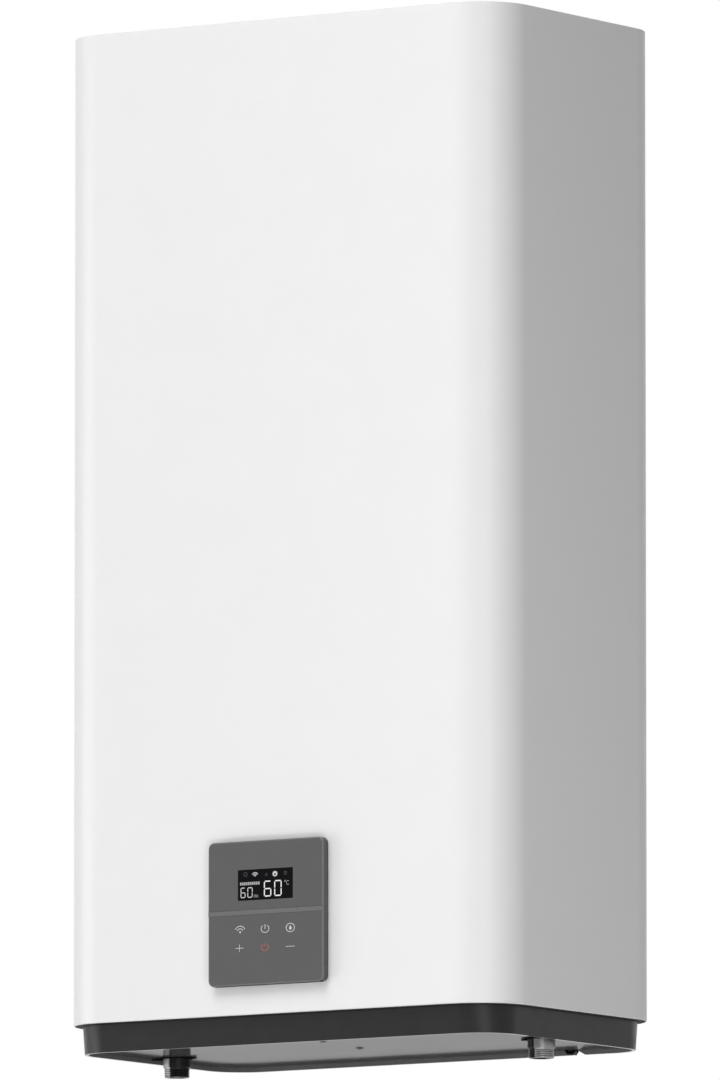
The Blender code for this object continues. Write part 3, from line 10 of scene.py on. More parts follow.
import bmesh
import bpy
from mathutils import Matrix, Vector


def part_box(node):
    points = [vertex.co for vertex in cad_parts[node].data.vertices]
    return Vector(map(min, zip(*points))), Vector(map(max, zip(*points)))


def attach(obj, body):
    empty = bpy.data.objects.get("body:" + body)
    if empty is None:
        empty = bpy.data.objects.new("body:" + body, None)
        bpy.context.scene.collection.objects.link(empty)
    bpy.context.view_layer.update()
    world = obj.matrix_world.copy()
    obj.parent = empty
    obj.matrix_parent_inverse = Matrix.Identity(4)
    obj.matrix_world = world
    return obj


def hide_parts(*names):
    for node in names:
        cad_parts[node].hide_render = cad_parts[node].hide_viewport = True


MM = 0.001
WHITE = (1.0, 1.0, 1.0, 1.0)
CASING_BOTTOM = -0.687
MIDDLE_DEPTH = -0.14325

# Camera: a long lens, low and to the right, looking up
LENS = 603.02
SENSOR = 36.0
CAMERA_AZIMUTH = 33.453
CAMERA_ELEVATION = -6.3195
CAMERA_PLACE = (8.156, -12.48735, -1.9255)

# Casing, skirt and panel, in millimetres
CASING_HALF_WIDTH = 217.5
CASING_HALF_DEPTH = 128.75
CASING_CORNER = 45.0
HEM_HEIGHT = 1.5
SKIRT_LOW = -23.3
RIM_HEIGHT = 0.5
PANEL_MIDDLE = -1.6
PANEL_HALF_WIDTH = 56.45
PANEL_PROUD = 8.3
FACE_Y = -CASING_HALF_DEPTH - PANEL_PROUD


def mm(x, y, z):
    """A point given in millimetres, in the casing's own frame, as metres in the CAD's frame."""
    return Vector((x * MM, MIDDLE_DEPTH + y * MM, CASING_BOTTOM + z * MM))


# Materials

# The noise that grains a surface, how many times finer the grain is than the slow drifts, and the part
# of the noise's range that a drift runs over
NOISE_DETAIL = 3.0
DRIFT_RATIO = 40
RAMP_SHARES = (0.35, 0.65)
METAL = {"Metallic": 1.0}
NO_SHINE = {"Specular IOR Level": 0.0}

FINISHES = {
    # name: colour, roughness and its spread, tint, grain scale, bump and its depth in mm, other inputs
    "white_paint": ((0.83, 0.83, 0.83), 0.34, 0.03, 0.004, 900, 0.06, 0.2, {}),
    "skirt_plastic": ((0.006, 0.006, 0.006), 0.36, 0.04, 0.06, 2600, 0.15, 0.1, {"Specular IOR Level": 0.28}),
    "skirt_rim": ((0.02, 0.02, 0.02), 0.16, 0.02, 0.0, 2600, 0.03, 0.1, {}),
    # a lighter copy of the skirt plastic for its inner faces: painted light standing in for bounce light
    "skirt_inner_painted_light": ((0.092, 0.092, 0.092), 0.6, 0.04, 0.06, 2600, 0.15, 0.1, {"Specular IOR Level": 0.3}),
    "panel_plastic": ((0.066, 0.066, 0.067), 0.42, 0.03, 0.02, 3000, 0.15, 0.1, {}),
    # a lighter copy of the panel plastic for the cover's rounded edge: a painted highlight
    "panel_edge_painted_highlight": ((0.135, 0.135, 0.136), 0.4, 0.03, 0.0, 3000, 0.05, 0.1, {}),
    # near-black without shine, on the panel housing and the cover's underside: painted shadow for the gap
    # line under the cover
    "panel_base_painted_shadow": ((0.012, 0.012, 0.012), 0.6, 0.03, 0.0, 3000, 0.15, 0.1, NO_SHINE),
    "panel_stripe": ((0.12, 0.12, 0.122), 0.3, 0.03, 0.0, 3000, 0.05, 0.1, {}),
    "display_window": ((0.003, 0.003, 0.004), 0.14, 0.02, 0.0, 1500, 0.02, 0.1, {"Specular IOR Level": 0.05}),
    "black_plastic": ((0.01, 0.01, 0.01), 0.5, 0.06, 0.1, 2600, 0.2, 0.1, {"Specular IOR Level": 0.2}),
    "matt_black": ((0.008, 0.008, 0.008), 0.7, 0.06, 0.1, 2600, 0.2, 0.1, NO_SHINE),
    "black_rubber": ((0.02, 0.02, 0.02), 0.75, 0.06, 0.1, 1800, 0.3, 0.1, {}),
    "white_plastic": ((0.72, 0.72, 0.7), 0.48, 0.05, 0.01, 2200, 0.15, 0.1, {}),
    "red_plastic": ((0.55, 0.03, 0.02), 0.35, 0.04, 0.04, 2200, 0.1, 0.1, {}),
    "rigid_foam": ((0.8, 0.68, 0.4), 0.95, 0.0, 0.12, 700, 0.8, 0.6, {}),
    "tank_enamel": ((0.02, 0.05, 0.12), 0.25, 0.08, 0.15, 500, 0.15, 0.3, {}),
    "board_green": ((0.01, 0.11, 0.04), 0.4, 0.05, 0.08, 1400, 0.1, 0.1, {}),
    "zinc_plate": ((0.6, 0.61, 0.63), 0.38, 0.1, 0.06, 260, 0.08, 0.2, METAL),
    "pipe_steel": ((0.28, 0.28, 0.284), 0.38, 0.08, 0.06, 1600, 0.1, 0.1, METAL),
    # near-black steel for the pipes' inward halves: painted shade, the same steel as pipe_steel in its real
    # colour
    "pipe_painted_shade": ((0.022, 0.022, 0.022), 0.3, 0.06, 0.1, 1600, 0.1, 0.1, METAL),
    "screw_steel": ((0.12, 0.12, 0.122), 0.35, 0.06, 0.1, 1600, 0.1, 0.1, METAL),
    "copper": ((0.66, 0.32, 0.2), 0.3, 0.1, 0.1, 900, 0.1, 0.2, METAL),
    "magnesium": ((0.5, 0.5, 0.5), 0.6, 0.1, 0.1, 500, 0.4, 0.4, METAL),
    "key_ink": ((0.62, 0.62, 0.62), 0.5, 0.04, 0.0, 3000, 0.05, 0.1, {}),
    "power_ink": ((0.42, 0.09, 0.05), 0.5, 0.04, 0.0, 3000, 0.05, 0.1, {}),
}

# The display's signs: how strongly each kind glows, over a dark base
GLOWS = {
    "segment_lit": 0.85,
    "segment_bright": 0.58,
    "segment_bar": 0.38,
    "segment_soft": 0.3,
    "segment_dim": 0.012,
}
GLOW_BASE = (0.02, 0.02, 0.02)
GLOW_ROUGHNESS = 0.5

# The bottom plate: its colour, how metallic it is, its tint at low angles, and its slow drift
PLATE_COLOUR = (0.4, 0.4, 0.4)
PLATE_METALLIC = 0.88
PLATE_LOW_ANGLE_TINT = (0.17, 0.17, 0.17, 1.0)
PLATE_ROUGHNESS = 0.1
PLATE_SPREAD = 0.015
PLATE_DRIFT = 22


def principled(name, colour, roughness, inputs):
    material = bpy.data.materials.new(name)
    material.use_nodes = True
    shader = material.node_tree.nodes["Principled BSDF"]
    shader.inputs["Base Color"].default_value = (*colour, 1.0)
    shader.inputs["Roughness"].default_value = roughness
    for key, value in inputs.items():
        shader.inputs[key].default_value = value
    return material, shader


def noise_node(material, scale):
    nodes, links = material.node_tree.nodes, material.node_tree.links
    place = nodes.new("ShaderNodeTexCoord")
    noise = nodes.new("ShaderNodeTexNoise")
    noise.inputs["Scale"].default_value = scale
    noise.inputs["Detail"].default_value = NOISE_DETAIL
    links.new(place.outputs["Object"], noise.inputs["Vector"])
    return noise


def add_bump(material, shader, noise, strength, distance):
    nodes, links = material.node_tree.nodes, material.node_tree.links
    bump = nodes.new("ShaderNodeBump")
    bump.inputs["Strength"].default_value = strength
    bump.inputs["Distance"].default_value = distance
    links.new(noise.outputs["Fac"], bump.inputs["Height"])
    links.new(bump.outputs["Normal"], shader.inputs["Normal"])


def vary(material, shader, noise, socket, colours):
    """Ranges a socket between two colours, or two greys that stand for numbers, over the noise."""
    nodes, links = material.node_tree.nodes, material.node_tree.links
    ramp = nodes.new("ShaderNodeValToRGB")
    for element, place, colour in zip(ramp.color_ramp.elements, RAMP_SHARES, colours):
        element.position = place
        element.color = (*colour, 1.0)
    links.new(noise.outputs["Fac"], ramp.inputs["Fac"])
    links.new(ramp.outputs["Color"], shader.inputs[socket])


def vary_roughness(material, shader, noise, roughness, spread):
    ends = [(roughness + way * spread,) * 3 for way in (-1, 1)]
    vary(material, shader, noise, "Roughness", ends)


def surface(name, colour, roughness, spread, tint, grain, bump, depth, inputs):
    """A material with a fine grain in its bump, and slow drifts in its roughness and colour."""
    material, shader = principled(name, colour, roughness, inputs)
    add_bump(material, shader, noise_node(material, grain), bump, depth * MM)
    slow = noise_node(material, grain / DRIFT_RATIO)
    if spread:
        vary_roughness(material, shader, slow, roughness, spread)
    if tint:
        ends = [tuple(min(c * (1 + way * tint), 1.0) for c in colour) for way in (-1, 1)]
        vary(material, shader, slow, "Base Color", ends)
    return material


def glow(name, level):
    """A plain material that glows white."""
    inputs = {"Emission Color": WHITE, "Emission Strength": level}
    return principled(name, GLOW_BASE, GLOW_ROUGHNESS, inputs)[0]


def plate_material():
    """Satin metallic grey, smooth enough to mirror the skirt's inner wall at a low angle."""
    inputs = {"Metallic": PLATE_METALLIC, "Specular Tint": PLATE_LOW_ANGLE_TINT, **NO_SHINE}
    material, shader = principled("plate_paint", PLATE_COLOUR, PLATE_ROUGHNESS, inputs)
    vary_roughness(material, shader, noise_node(material, PLATE_DRIFT), PLATE_ROUGHNESS, PLATE_SPREAD)
    return material


def make_materials():
    materials = {name: surface(name, *row) for name, row in FINISHES.items()}
    for name, level in GLOWS.items():
        materials[name] = glow(name, level)
    materials["plate_paint"] = plate_material()
    return materials


# The CAD's nodes: their materials, small radii and shading

NODE_FINISHES = {
    "white_paint": ("outer_casing", "top_cap"),
    "zinc_plate": (
        "back_panel",
        "upper_wall_rail",
        "lower_wall_rail",
        "plate_strap",
        "earth_stud",
        "left_head",
        "right_head",
    ),
    "skirt_plastic": ("bottom_skirt",),
    "plate_paint": ("bottom_plate",),
    "panel_plastic": ("panel_face",),
    # the housing's strip under the cover is dark as painted shadow
    "panel_base_painted_shadow": ("panel_housing",),
    "display_window": ("display_window",),
    "black_plastic": ("thermal_cutout", "temperature_sensor_line", "signal_cable"),
    "matt_black": ("hot_pipe_collar", "cold_pipe_collar", "cable_gland"),
    "red_plastic": ("cutout_reset_button",),
    "black_rubber": (
        "left_gasket",
        "right_gasket",
        "left_element_lead",
        "right_element_lead",
        "mains_lead",
    ),
    "rigid_foam": ("foam_insulation",),
    "tank_enamel": ("left_tank", "right_tank"),
    "pipe_steel": ("transfer_pipe", "cold_pipe", "hot_pipe"),
    "screw_steel": ("plate_screw_middle", "plate_screw_front"),
    "copper": (
        "left_element",
        "right_element",
        "left_sensor_pocket",
        "right_sensor_pocket",
        "cutout_bulb_line",
    ),
    "magnesium": ("left_anode", "right_anode"),
    "white_plastic": (
        "electronics_box",
        "electronics_lid",
        "terminal_block",
        "inlet_diffuser",
        "hot_standpipe",
    ),
    "board_green": ("power_board", "display_board"),
}
BOLT_FINISH = "zinc_plate"

# Lengths in millimetres
SMALL_BEVELS = {
    "bottom_skirt": 0.35,
    "bottom_plate": 0.3,
    "panel_face": 0.25,
    "panel_housing": 0.25,
    "display_window": 0.15,
    "upper_wall_rail": 0.4,
    "lower_wall_rail": 0.4,
    "back_panel": 0.2,
    "cable_gland": 0.2,
}
WELD_DISTANCE = 0.01
CREASE_ANGLE = math.radians(35)
BEVEL_ANGLE = math.radians(40)
BEVEL_SEGMENTS = 2
NORMAL_WEIGHT = 80

# Cosines that tell a level face, a face that looks outward, and the faces of the cover's rounded edge, which
# get a painted highlight
LEVEL_COSINE = 0.9
OUTWARD_COSINE = 0.5
PAINTED_HIGHLIGHT_COSINES = (0.3, 0.95)


def weld(obj):
    """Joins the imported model's loose triangles and drops its flat normals. The points stay."""
    flat = obj.data.attributes.get("custom_normal")
    if flat:
        obj.data.attributes.remove(flat)
    joint = obj.modifiers.new("weld", "WELD")
    joint.merge_threshold = WELD_DISTANCE * MM


def crease(obj):
    """Smooth shading, with hard edges wherever two faces meet at more than the crease angle."""
    obj.data.shade_smooth()
    split = obj.modifiers.new("creases", "EDGE_SPLIT")
    split.use_edge_sharp = False
    split.split_angle = CREASE_ANGLE


def round_edges(obj, width):
    """Small real radii on the sharp edges, shaded by the large faces beside them."""
    obj.data.shade_smooth()
    bevel = obj.modifiers.new("edges", "BEVEL")
    bevel.width = width * MM
    bevel.segments = BEVEL_SEGMENTS
    bevel.limit_method = "ANGLE"
    bevel.angle_limit = BEVEL_ANGLE
    flatten = obj.modifiers.new("weights", "WEIGHTED_NORMAL")
    flatten.mode = "FACE_AREA"
    flatten.weight = NORMAL_WEIGHT


def dress_nodes(nodes, materials):
    finishes = {name: finish for finish, names in NODE_FINISHES.items() for name in names}
    for name, obj in nodes.items():
        finish = BOLT_FINISH if "_head_bolt_" in name else finishes[name]
        obj.data.materials.clear()
        obj.data.materials.append(materials[finish])
        if name == "outer_casing":
            # black rubber here paints the shadow in the gap under the casing's edge
            dress_casing(obj, materials["black_rubber"])
            continue
        weld(obj)
        if name in SMALL_BEVELS:
            round_edges(obj, SMALL_BEVELS[name])
        else:
            crease(obj)
    dress_skirt(nodes["bottom_skirt"], materials["skirt_inner_painted_light"], materials["skirt_rim"])
    dress_panel_edge(nodes["panel_face"], materials["panel_edge_painted_highlight"], materials["panel_base_painted_shadow"])


def casing_normal(point, tilt):
    """The casing's true outward direction at a point, flat on its sides and round at its corners."""
    x = point.x / MM
    y = (point.y - MIDDLE_DEPTH) / MM
    reach_x = CASING_HALF_WIDTH - CASING_CORNER
    reach_y = CASING_HALF_DEPTH - CASING_CORNER
    out = Vector((x - max(-reach_x, min(reach_x, x)), y - max(-reach_y, min(reach_y, y))))
    out = out.normalized() * math.sqrt(1 - tilt * tilt)
    return Vector((out.x, out.y, tilt))


def dress_casing(casing, painted_shadow_gap):
    """Exact shading for the rolled casing, and painted shadow on its underside: black rubber on the faces
    between its edge and the skirt.
    """
    casing.data.materials.append(painted_shadow_gap)
    casing.data.shade_smooth()
    normals = []
    for face in casing.data.polygons:
        facing = face.normal.dot(casing_normal(face.center, 0.0))
        outward = abs(face.normal.z) < LEVEL_COSINE and facing > OUTWARD_COSINE
        # the hem's downward faces get the black rubber as painted shadow above the skirt
        if face.normal.z < -LEVEL_COSINE and face.center.z < CASING_BOTTOM + HEM_HEIGHT * MM:
            face.material_index = 1
        for index in face.vertices:
            point = casing.data.vertices[index].co
            normals.append(casing_normal(point, face.normal.z) if outward else face.normal.copy())
    casing.data.normals_split_custom_set(normals)


def dress_panel_edge(panel, painted_edge_highlight, painted_underside_shadow):
    """The cover's rounded outer edge is painted a little lighter than its face as a painted highlight, and
    its underside painted dark as painted shadow.
    """
    panel.data.materials.append(painted_edge_highlight)
    panel.data.materials.append(painted_underside_shadow)
    low, high = PAINTED_HIGHLIGHT_COSINES
    for face in panel.data.polygons:
        # the rounded edge faces: painted highlight
        if low < -face.normal.y < high:
            face.material_index = 1
        # the cover's underside: painted shadow
        if face.normal.z < -LEVEL_COSINE:
            face.material_index = 2


def dress_skirt(skirt, painted_bounce_light, rim):
    """Inner faces, the ones that look back towards the middle, in a lighter matt grey as painted light from
    below, and a smooth lower rim.
    """
    skirt.data.materials.append(painted_bounce_light)
    skirt.data.materials.append(rim)
    rim_top = CASING_BOTTOM + (SKIRT_LOW + RIM_HEIGHT) * MM
    for face in skirt.data.polygons:
        if face.normal.z < -LEVEL_COSINE and face.center.z < rim_top:
            face.material_index = 2
            continue
        out = Vector((face.center.x, face.center.y - MIDDLE_DEPTH))
        across = Vector((face.normal.x, face.normal.y))
        # the faces that look inward get the lighter grey as painted light
        if across.length > OUTWARD_COSINE and across.dot(out) < 0:
            face.material_index = 1


# Shapes, from lengths in millimetres

ARC_STEPS = 16
RING_STEPS = 32


def new_piece(name, bm, material):
    bmesh.ops.recalc_face_normals(bm, faces=bm.faces)
    mesh = bpy.data.meshes.new(name)
    bm.to_mesh(mesh)
    bm.free()
    mesh.materials.append(material)
    obj = bpy.data.objects.new(name, mesh)
    bpy.context.scene.collection.objects.link(obj)
    crease(obj)
    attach(obj, "heater")
    return obj


def bridge(bm, first, second):
    """The faces between two matching closed rings of points."""
    faces = []
    for i in range(len(first)):
        j = (i + 1) % len(first)
        faces.append(bm.faces.new((first[i], first[j], second[j], second[i])))
    return faces


def add_prism(bm, outline, low, high):
    """A closed prism of an (x, z) outline in millimetres, between two depths."""
    front, back = [[bm.verts.new(mm(x, y, z)) for x, z in outline] for y in (low, high)]
    bridge(bm, front, back)
    bm.faces.new(front)
    bm.faces.new(back[::-1])


def add_band(bm, outer, inner, low, high):
    """A closed ring between two matching outlines."""
    sections = ((outer, low), (inner, low), (inner, high), (outer, high))
    loops = [[bm.verts.new(mm(x, y, z)) for x, z in points] for points, y in sections]
    for first, second in zip(loops, loops[1:] + loops[:1]):
        bridge(bm, first, second)


def arc_points(x, z, radius, start, end, steps, height_share=1.0):
    """Points along an arc between two angles, its height a share of a circle's."""
    turns = [math.radians(start + (end - start) * k / steps) for k in range(steps + 1)]
    return [(x + radius * math.cos(t), z + height_share * radius * math.sin(t)) for t in turns]


def circle_points(x, z, radius, steps, height_share=1.0):
    return arc_points(x, z, radius, 0, 360, steps, height_share)[:-1]


def add_arc(bm, x, z, radius, line, start, end, low, high, steps=ARC_STEPS, height_share=1.0):
    outer = arc_points(x, z, radius + line / 2, start, end, steps, height_share)
    inner = arc_points(x, z, radius - line / 2, start, end, steps, height_share)
    add_prism(bm, outer + inner[::-1], low, high)


def add_ring(bm, x, z, radius, line, low, high, steps=RING_STEPS, height_share=1.0):
    outer = circle_points(x, z, radius + line / 2, steps, height_share)
    inner = circle_points(x, z, radius - line / 2, steps, height_share)
    add_band(bm, outer, inner, low, high)


def add_disc(bm, x, z, radius, low, high):
    add_prism(bm, circle_points(x, z, radius, ARC_STEPS), low, high)


def add_bar(bm, start, end, line, low, high, tip=0.0):
    """A bar between two points, with ends that narrow to a point over the tip's length, if any."""
    a, b = Vector(start), Vector(end)
    along = (b - a).normalized()
    side = Vector((-along.y, along.x)) * line / 2
    shift = along * tip
    if tip:
        outline = [a, a + shift + side, b - shift + side, b, b - shift - side, a + shift - side]
    else:
        outline = [a + side, b + side, b - side, a - side]
    add_prism(bm, [tuple(point) for point in outline], low, high)


# Control panel: the stripe across its face

STRIPE_LOW = 81.1
STRIPE_HEIGHT = 4.0
STRIPE_MARGIN = 0.1
STRIPE_END_INSET = 0.35
STRIPE_DEPTHS = (0.05, 0.4)


def build_stripe(materials):
    """The inlay in the groove of the panel's face."""
    bm = bmesh.new()
    half = PANEL_HALF_WIDTH - STRIPE_END_INSET
    left, right = PANEL_MIDDLE - half, PANEL_MIDDLE + half
    low, high = STRIPE_LOW + STRIPE_MARGIN, STRIPE_LOW + STRIPE_HEIGHT - STRIPE_MARGIN
    outline = [(left, low), (right, low), (right, high), (left, high)]
    add_prism(bm, outline, *(FACE_Y + depth for depth in STRIPE_DEPTHS))
    new_piece("panel_stripe", bm, materials["panel_stripe"])


# Control panel: the key symbols, each with its place against the middle of its key

KEY_COLUMNS = (-26.4, -1.7, 22.8)
KEY_ROWS = (69.5, 53.9)
KEY_HEIGHT_SHARE = 0.84
INK_SINK = 0.02
INK_HEIGHT = 0.06
KEY_LINE = 0.6
FINE_LINE = 0.42
KEY_ARC_STEPS = 28
WIRELESS_DOT = (-2.3, 0.8)
WIRELESS_CENTRE = -2.6
WIRELESS_RADII = (3.1, 5.3)
WIRELESS_FAN = (28, 152)
SWITCH_SHIFT = -0.3
SWITCH_CENTRE = -0.1
SWITCH_TURN = (-235, 55)
TIMER_SHIFT = -0.4
TIMER_RADIUS = 3.8
TIMER_HAND = (-0.4, 3.4)
POWER_RADIUS = 3.4
POWER_LINE = 0.65
POWER_HAND = (0.3, 3.3)
WATER_CENTRE = -0.8
WATER_RADIUS = 4.1
DROP_CENTRE = -1.3
DROP_RADIUS = 1.25
DROP_TURN = (-210, 30)
DROP_STEPS = 14
DROP_TIP = 1.2
PLUS_CENTRE = (-0.7, 0.2)
PLUS_HALF_WIDTH = 3.9
PLUS_HALF_HEIGHT = 3.1
MINUS_ENDS = (-4.5, 4.3)
MINUS_CENTRE = -0.5


def add_switch_sign(bm, x, row, radius, line, hand, depth):
    """An open circle with an upright hand in its gap."""
    x, z = x + SWITCH_SHIFT, row + SWITCH_CENTRE
    add_arc(bm, x, z, radius, line, *SWITCH_TURN, *depth, KEY_ARC_STEPS, KEY_HEIGHT_SHARE)
    low, high = hand
    add_bar(bm, (x, row + low), (x, row + high), line, *depth)


def build_keys(materials):
    """The six printed symbols, a hair proud of the panel's face."""
    depth = (FACE_Y - INK_HEIGHT, FACE_Y + INK_SINK)
    left, middle, right = KEY_COLUMNS
    upper, lower = KEY_ROWS
    ink = materials["key_ink"]

    bm = bmesh.new()
    dot_rise, dot_radius = WIRELESS_DOT
    add_disc(bm, left, upper + dot_rise, dot_radius, *depth)
    for radius in WIRELESS_RADII:
        add_arc(bm, left, upper + WIRELESS_CENTRE, radius, KEY_LINE, *WIRELESS_FAN, *depth)
    new_piece("key_wireless", bm, ink)

    bm = bmesh.new()
    add_switch_sign(bm, middle, upper + TIMER_SHIFT, TIMER_RADIUS, KEY_LINE, TIMER_HAND, depth)
    new_piece("key_timer", bm, ink)

    bm = bmesh.new()
    centre = (right, upper + WATER_CENTRE)
    add_ring(bm, *centre, WATER_RADIUS, KEY_LINE, *depth, height_share=KEY_HEIGHT_SHARE)
    drop = arc_points(right, upper + DROP_CENTRE, DROP_RADIUS, *DROP_TURN, DROP_STEPS)
    add_prism(bm, drop + [(right, upper + DROP_TIP)], *depth)
    new_piece("key_hot_water", bm, ink)

    bm = bmesh.new()
    x, z = left + PLUS_CENTRE[0], lower + PLUS_CENTRE[1]
    add_bar(bm, (x - PLUS_HALF_WIDTH, z), (x + PLUS_HALF_WIDTH, z), FINE_LINE, *depth)
    for way in (1, -1):
        start, end = way * FINE_LINE / 2, way * PLUS_HALF_HEIGHT
        add_bar(bm, (x, z + start), (x, z + end), FINE_LINE, *depth)
    new_piece("key_plus", bm, ink)

    bm = bmesh.new()
    add_switch_sign(bm, middle, lower, POWER_RADIUS, POWER_LINE, POWER_HAND, depth)
    new_piece("key_power", bm, materials["power_ink"])

    bm = bmesh.new()
    start, end = [(right + reach, lower + MINUS_CENTRE) for reach in MINUS_ENDS]
    add_bar(bm, start, end, FINE_LINE, *depth)
    new_piece("key_minus", bm, ink)


# Control panel: what the display shows

GLYPH_HEIGHT = 0.04
SEGMENTS = {
    # Each segment's two ends, in digit widths and half heights
    "a": ((0, 2), (1, 2)),
    "b": ((1, 1), (1, 2)),
    "c": ((1, 0), (1, 1)),
    "d": ((0, 0), (1, 0)),
    "e": ((0, 0), (0, 1)),
    "f": ((0, 1), (0, 2)),
    "g": ((0, 1), (1, 1)),
}
SEGMENT_TIP_SHARE = 0.45
SIX = "acdefg"
ZERO = "abcdef"
NUMBERS = (
    # piece, material, the digits' bottom edge, height, stroke and gap, then each digit, left edge and width
    ("display_temperature", "segment_lit", 95.1, 13.0, 0.92, 0.3, ((SIX, -3.1, 7.2), (ZERO, 7.0, 7.2))),
    ("display_minutes", "segment_bright", 95.0, 8.5, 0.7, 0.2, ((SIX, -26.0, 4.8), (ZERO, -19.3, 5.1))),
)
BAR_COUNT = 10
BAR_LEFT = -25.8
BAR_PITCH = 1.97
BAR_ENDS = (105.4, 107.8)
BAR_STROKE = 1.3
SIGN_LINE = 0.4
UNIT_STROKES = (
    ((-12.7, 94.9), (-12.7, 96.8)),
    ((-11.5, 94.9), (-11.5, 96.8)),
    ((-10.3, 94.9), (-10.3, 96.8)),
    ((-12.47, 97.05), (-11.63, 97.05)),
    ((-11.27, 97.05), (-10.43, 97.05)),
    ((-9.1, 94.9), (-9.1, 97.1)),
)

# Signs on the display: x, z, radius and, for a ring or an arc, its line
DEGREE_RING = (17.6, 107.1, 0.6, 0.35)
DEGREE_RING_STEPS = 16
DEGREE_LETTER = (20.4, 105.6, 1.55, 0.42)
DEGREE_LETTER_TURN = (50, 310)
FAN_DOT = (-11.8, 112.6, 0.5)
FAN_CENTRE = (-11.8, 112.0)
FAN_RADII = (1.4, 2.4, 3.4)
FAN_LINE = 0.45
FAN_TURN = (35, 145)
GEAR_CENTRE = (7.7, 113.4)
GEAR_HOLE = (7.7, 113.1, 0.9)
GEAR_RADIUS = 2.15
GEAR_TOOTH = 0.25
GEAR_TEETH = 8
GEAR_STEPS = 48
GEAR_WIDTH_SHARE = 1.08
UNLIT_RING = (-21.2, 114.2, 1.6, 0.45)
UNLIT_RING_STEPS = 20
UNLIT_ARC = (-0.6, 113.1, 1.0, 0.45)
UNLIT_ARC_TURN = (30, 330)
UNLIT_BAR_ENDS = (16.4, 19.4)
UNLIT_BAR_HEIGHTS = (112.4, 113.6, 114.8)


def add_digit(bm, lit, left, low, width, height, stroke, gap, depth):
    """A seven-segment digit. Each segment stops short of its ends by the gap."""
    for name in lit:
        ends = []
        for u, v in SEGMENTS[name]:
            x = left + stroke / 2 + u * (width - stroke)
            z = low + stroke / 2 + v * (height - stroke) / 2
            ends.append(Vector((x, z)))
        along = (ends[1] - ends[0]).normalized() * gap
        add_bar(bm, ends[0] + along, ends[1] - along, stroke, *depth, tip=stroke * SEGMENT_TIP_SHARE)


def gear_points(turn):
    """A point on the gear's rim, and the one on its hole's edge at the same turn."""
    radius = GEAR_RADIUS + GEAR_TOOTH * math.cos(GEAR_TEETH * turn)
    x, z = GEAR_CENTRE
    rim = (x + GEAR_WIDTH_SHARE * radius * math.cos(turn), z + radius * math.sin(turn))
    x, z, hole = GEAR_HOLE
    return rim, (x + hole * math.cos(turn), z + hole * math.sin(turn))


def build_display(materials):
    """The lit and unlit signs, a hair proud of the display window."""
    depth = (FACE_Y - GLYPH_HEIGHT, FACE_Y + INK_SINK)

    for piece, material, low, height, stroke, gap, digits in NUMBERS:
        bm = bmesh.new()
        for lit, left, width in digits:
            add_digit(bm, lit, left, low, width, height, stroke, gap, depth)
        new_piece(piece, bm, materials[material])

    bm = bmesh.new()
    for k in range(BAR_COUNT):
        x = BAR_LEFT + BAR_PITCH * k
        start, end = [(x, z) for z in BAR_ENDS]
        add_bar(bm, start, end, BAR_STROKE, *depth)
    new_piece("display_bar", bm, materials["segment_bar"])

    bm = bmesh.new()
    for start, end in UNIT_STROKES:
        add_bar(bm, start, end, SIGN_LINE, *depth)
    new_piece("display_minutes_unit", bm, materials["segment_soft"])

    bm = bmesh.new()
    add_ring(bm, *DEGREE_RING, *depth, steps=DEGREE_RING_STEPS)
    add_arc(bm, *DEGREE_LETTER, *DEGREE_LETTER_TURN, *depth)
    new_piece("display_degree", bm, materials["segment_soft"])

    bm = bmesh.new()
    add_disc(bm, *FAN_DOT, *depth)
    for radius in FAN_RADII:
        add_arc(bm, *FAN_CENTRE, radius, FAN_LINE, *FAN_TURN, *depth)
    new_piece("display_wireless", bm, materials["segment_bright"])

    bm = bmesh.new()
    pairs = [gear_points(math.tau * k / GEAR_STEPS) for k in range(GEAR_STEPS)]
    add_band(bm, [rim for rim, hole in pairs], [hole for rim, hole in pairs], *depth)
    new_piece("display_gear", bm, materials["segment_bright"])

    bm = bmesh.new()
    add_ring(bm, *UNLIT_RING, *depth, steps=UNLIT_RING_STEPS)
    add_arc(bm, *UNLIT_ARC, *UNLIT_ARC_TURN, *depth)
    for z in UNLIT_BAR_HEIGHTS:
        start, end = [(x, z) for x in UNLIT_BAR_ENDS]
        add_bar(bm, start, end, SIGN_LINE, *depth)
    new_piece("display_unlit", bm, materials["segment_dim"])


# Pipe ends, each with a thread below a shoulder, in millimetres

PIPE_X = 179.1
PIPE_Y = -2.7
PIPE_RADIUS = 10.5
PIPE_BORE = 7.5
PIPE_END = -36.1
PIPE_CHAMFER = 0.7
SHOULDER_RADIUS = 11.4
SHOULDER_LOW = -27.8
SHOULDER_HIGH = -12.2
SHOULDER_CHAMFER = 0.3
THREAD_PITCH = 1.814
THREAD_DEPTH = 0.8
THREAD_CREST_SHARE = 0.35
THREAD_LEAD_IN = 0.05
THREAD_RUN_OUT = 0.5
THREAD_SIDES = 48
THREAD_STEPS = 6


def thread_radius(z, turn):
    """The pipe's radius at a height and an angle, for a helical thread with flat crests."""
    phase = ((z - PIPE_END) / THREAD_PITCH - turn / math.tau) % 1.0
    ridge = max(abs(2 * phase - 1) - THREAD_CREST_SHARE, 0.0) / (1 - THREAD_CREST_SHARE)
    fade = min(max((SHOULDER_LOW - THREAD_RUN_OUT - z) / THREAD_PITCH, 0.0), 1.0)
    limit = PIPE_RADIUS - max(PIPE_CHAMFER - (z - PIPE_END), 0.0)
    return min(PIPE_RADIUS - THREAD_DEPTH * ridge * fade, limit)


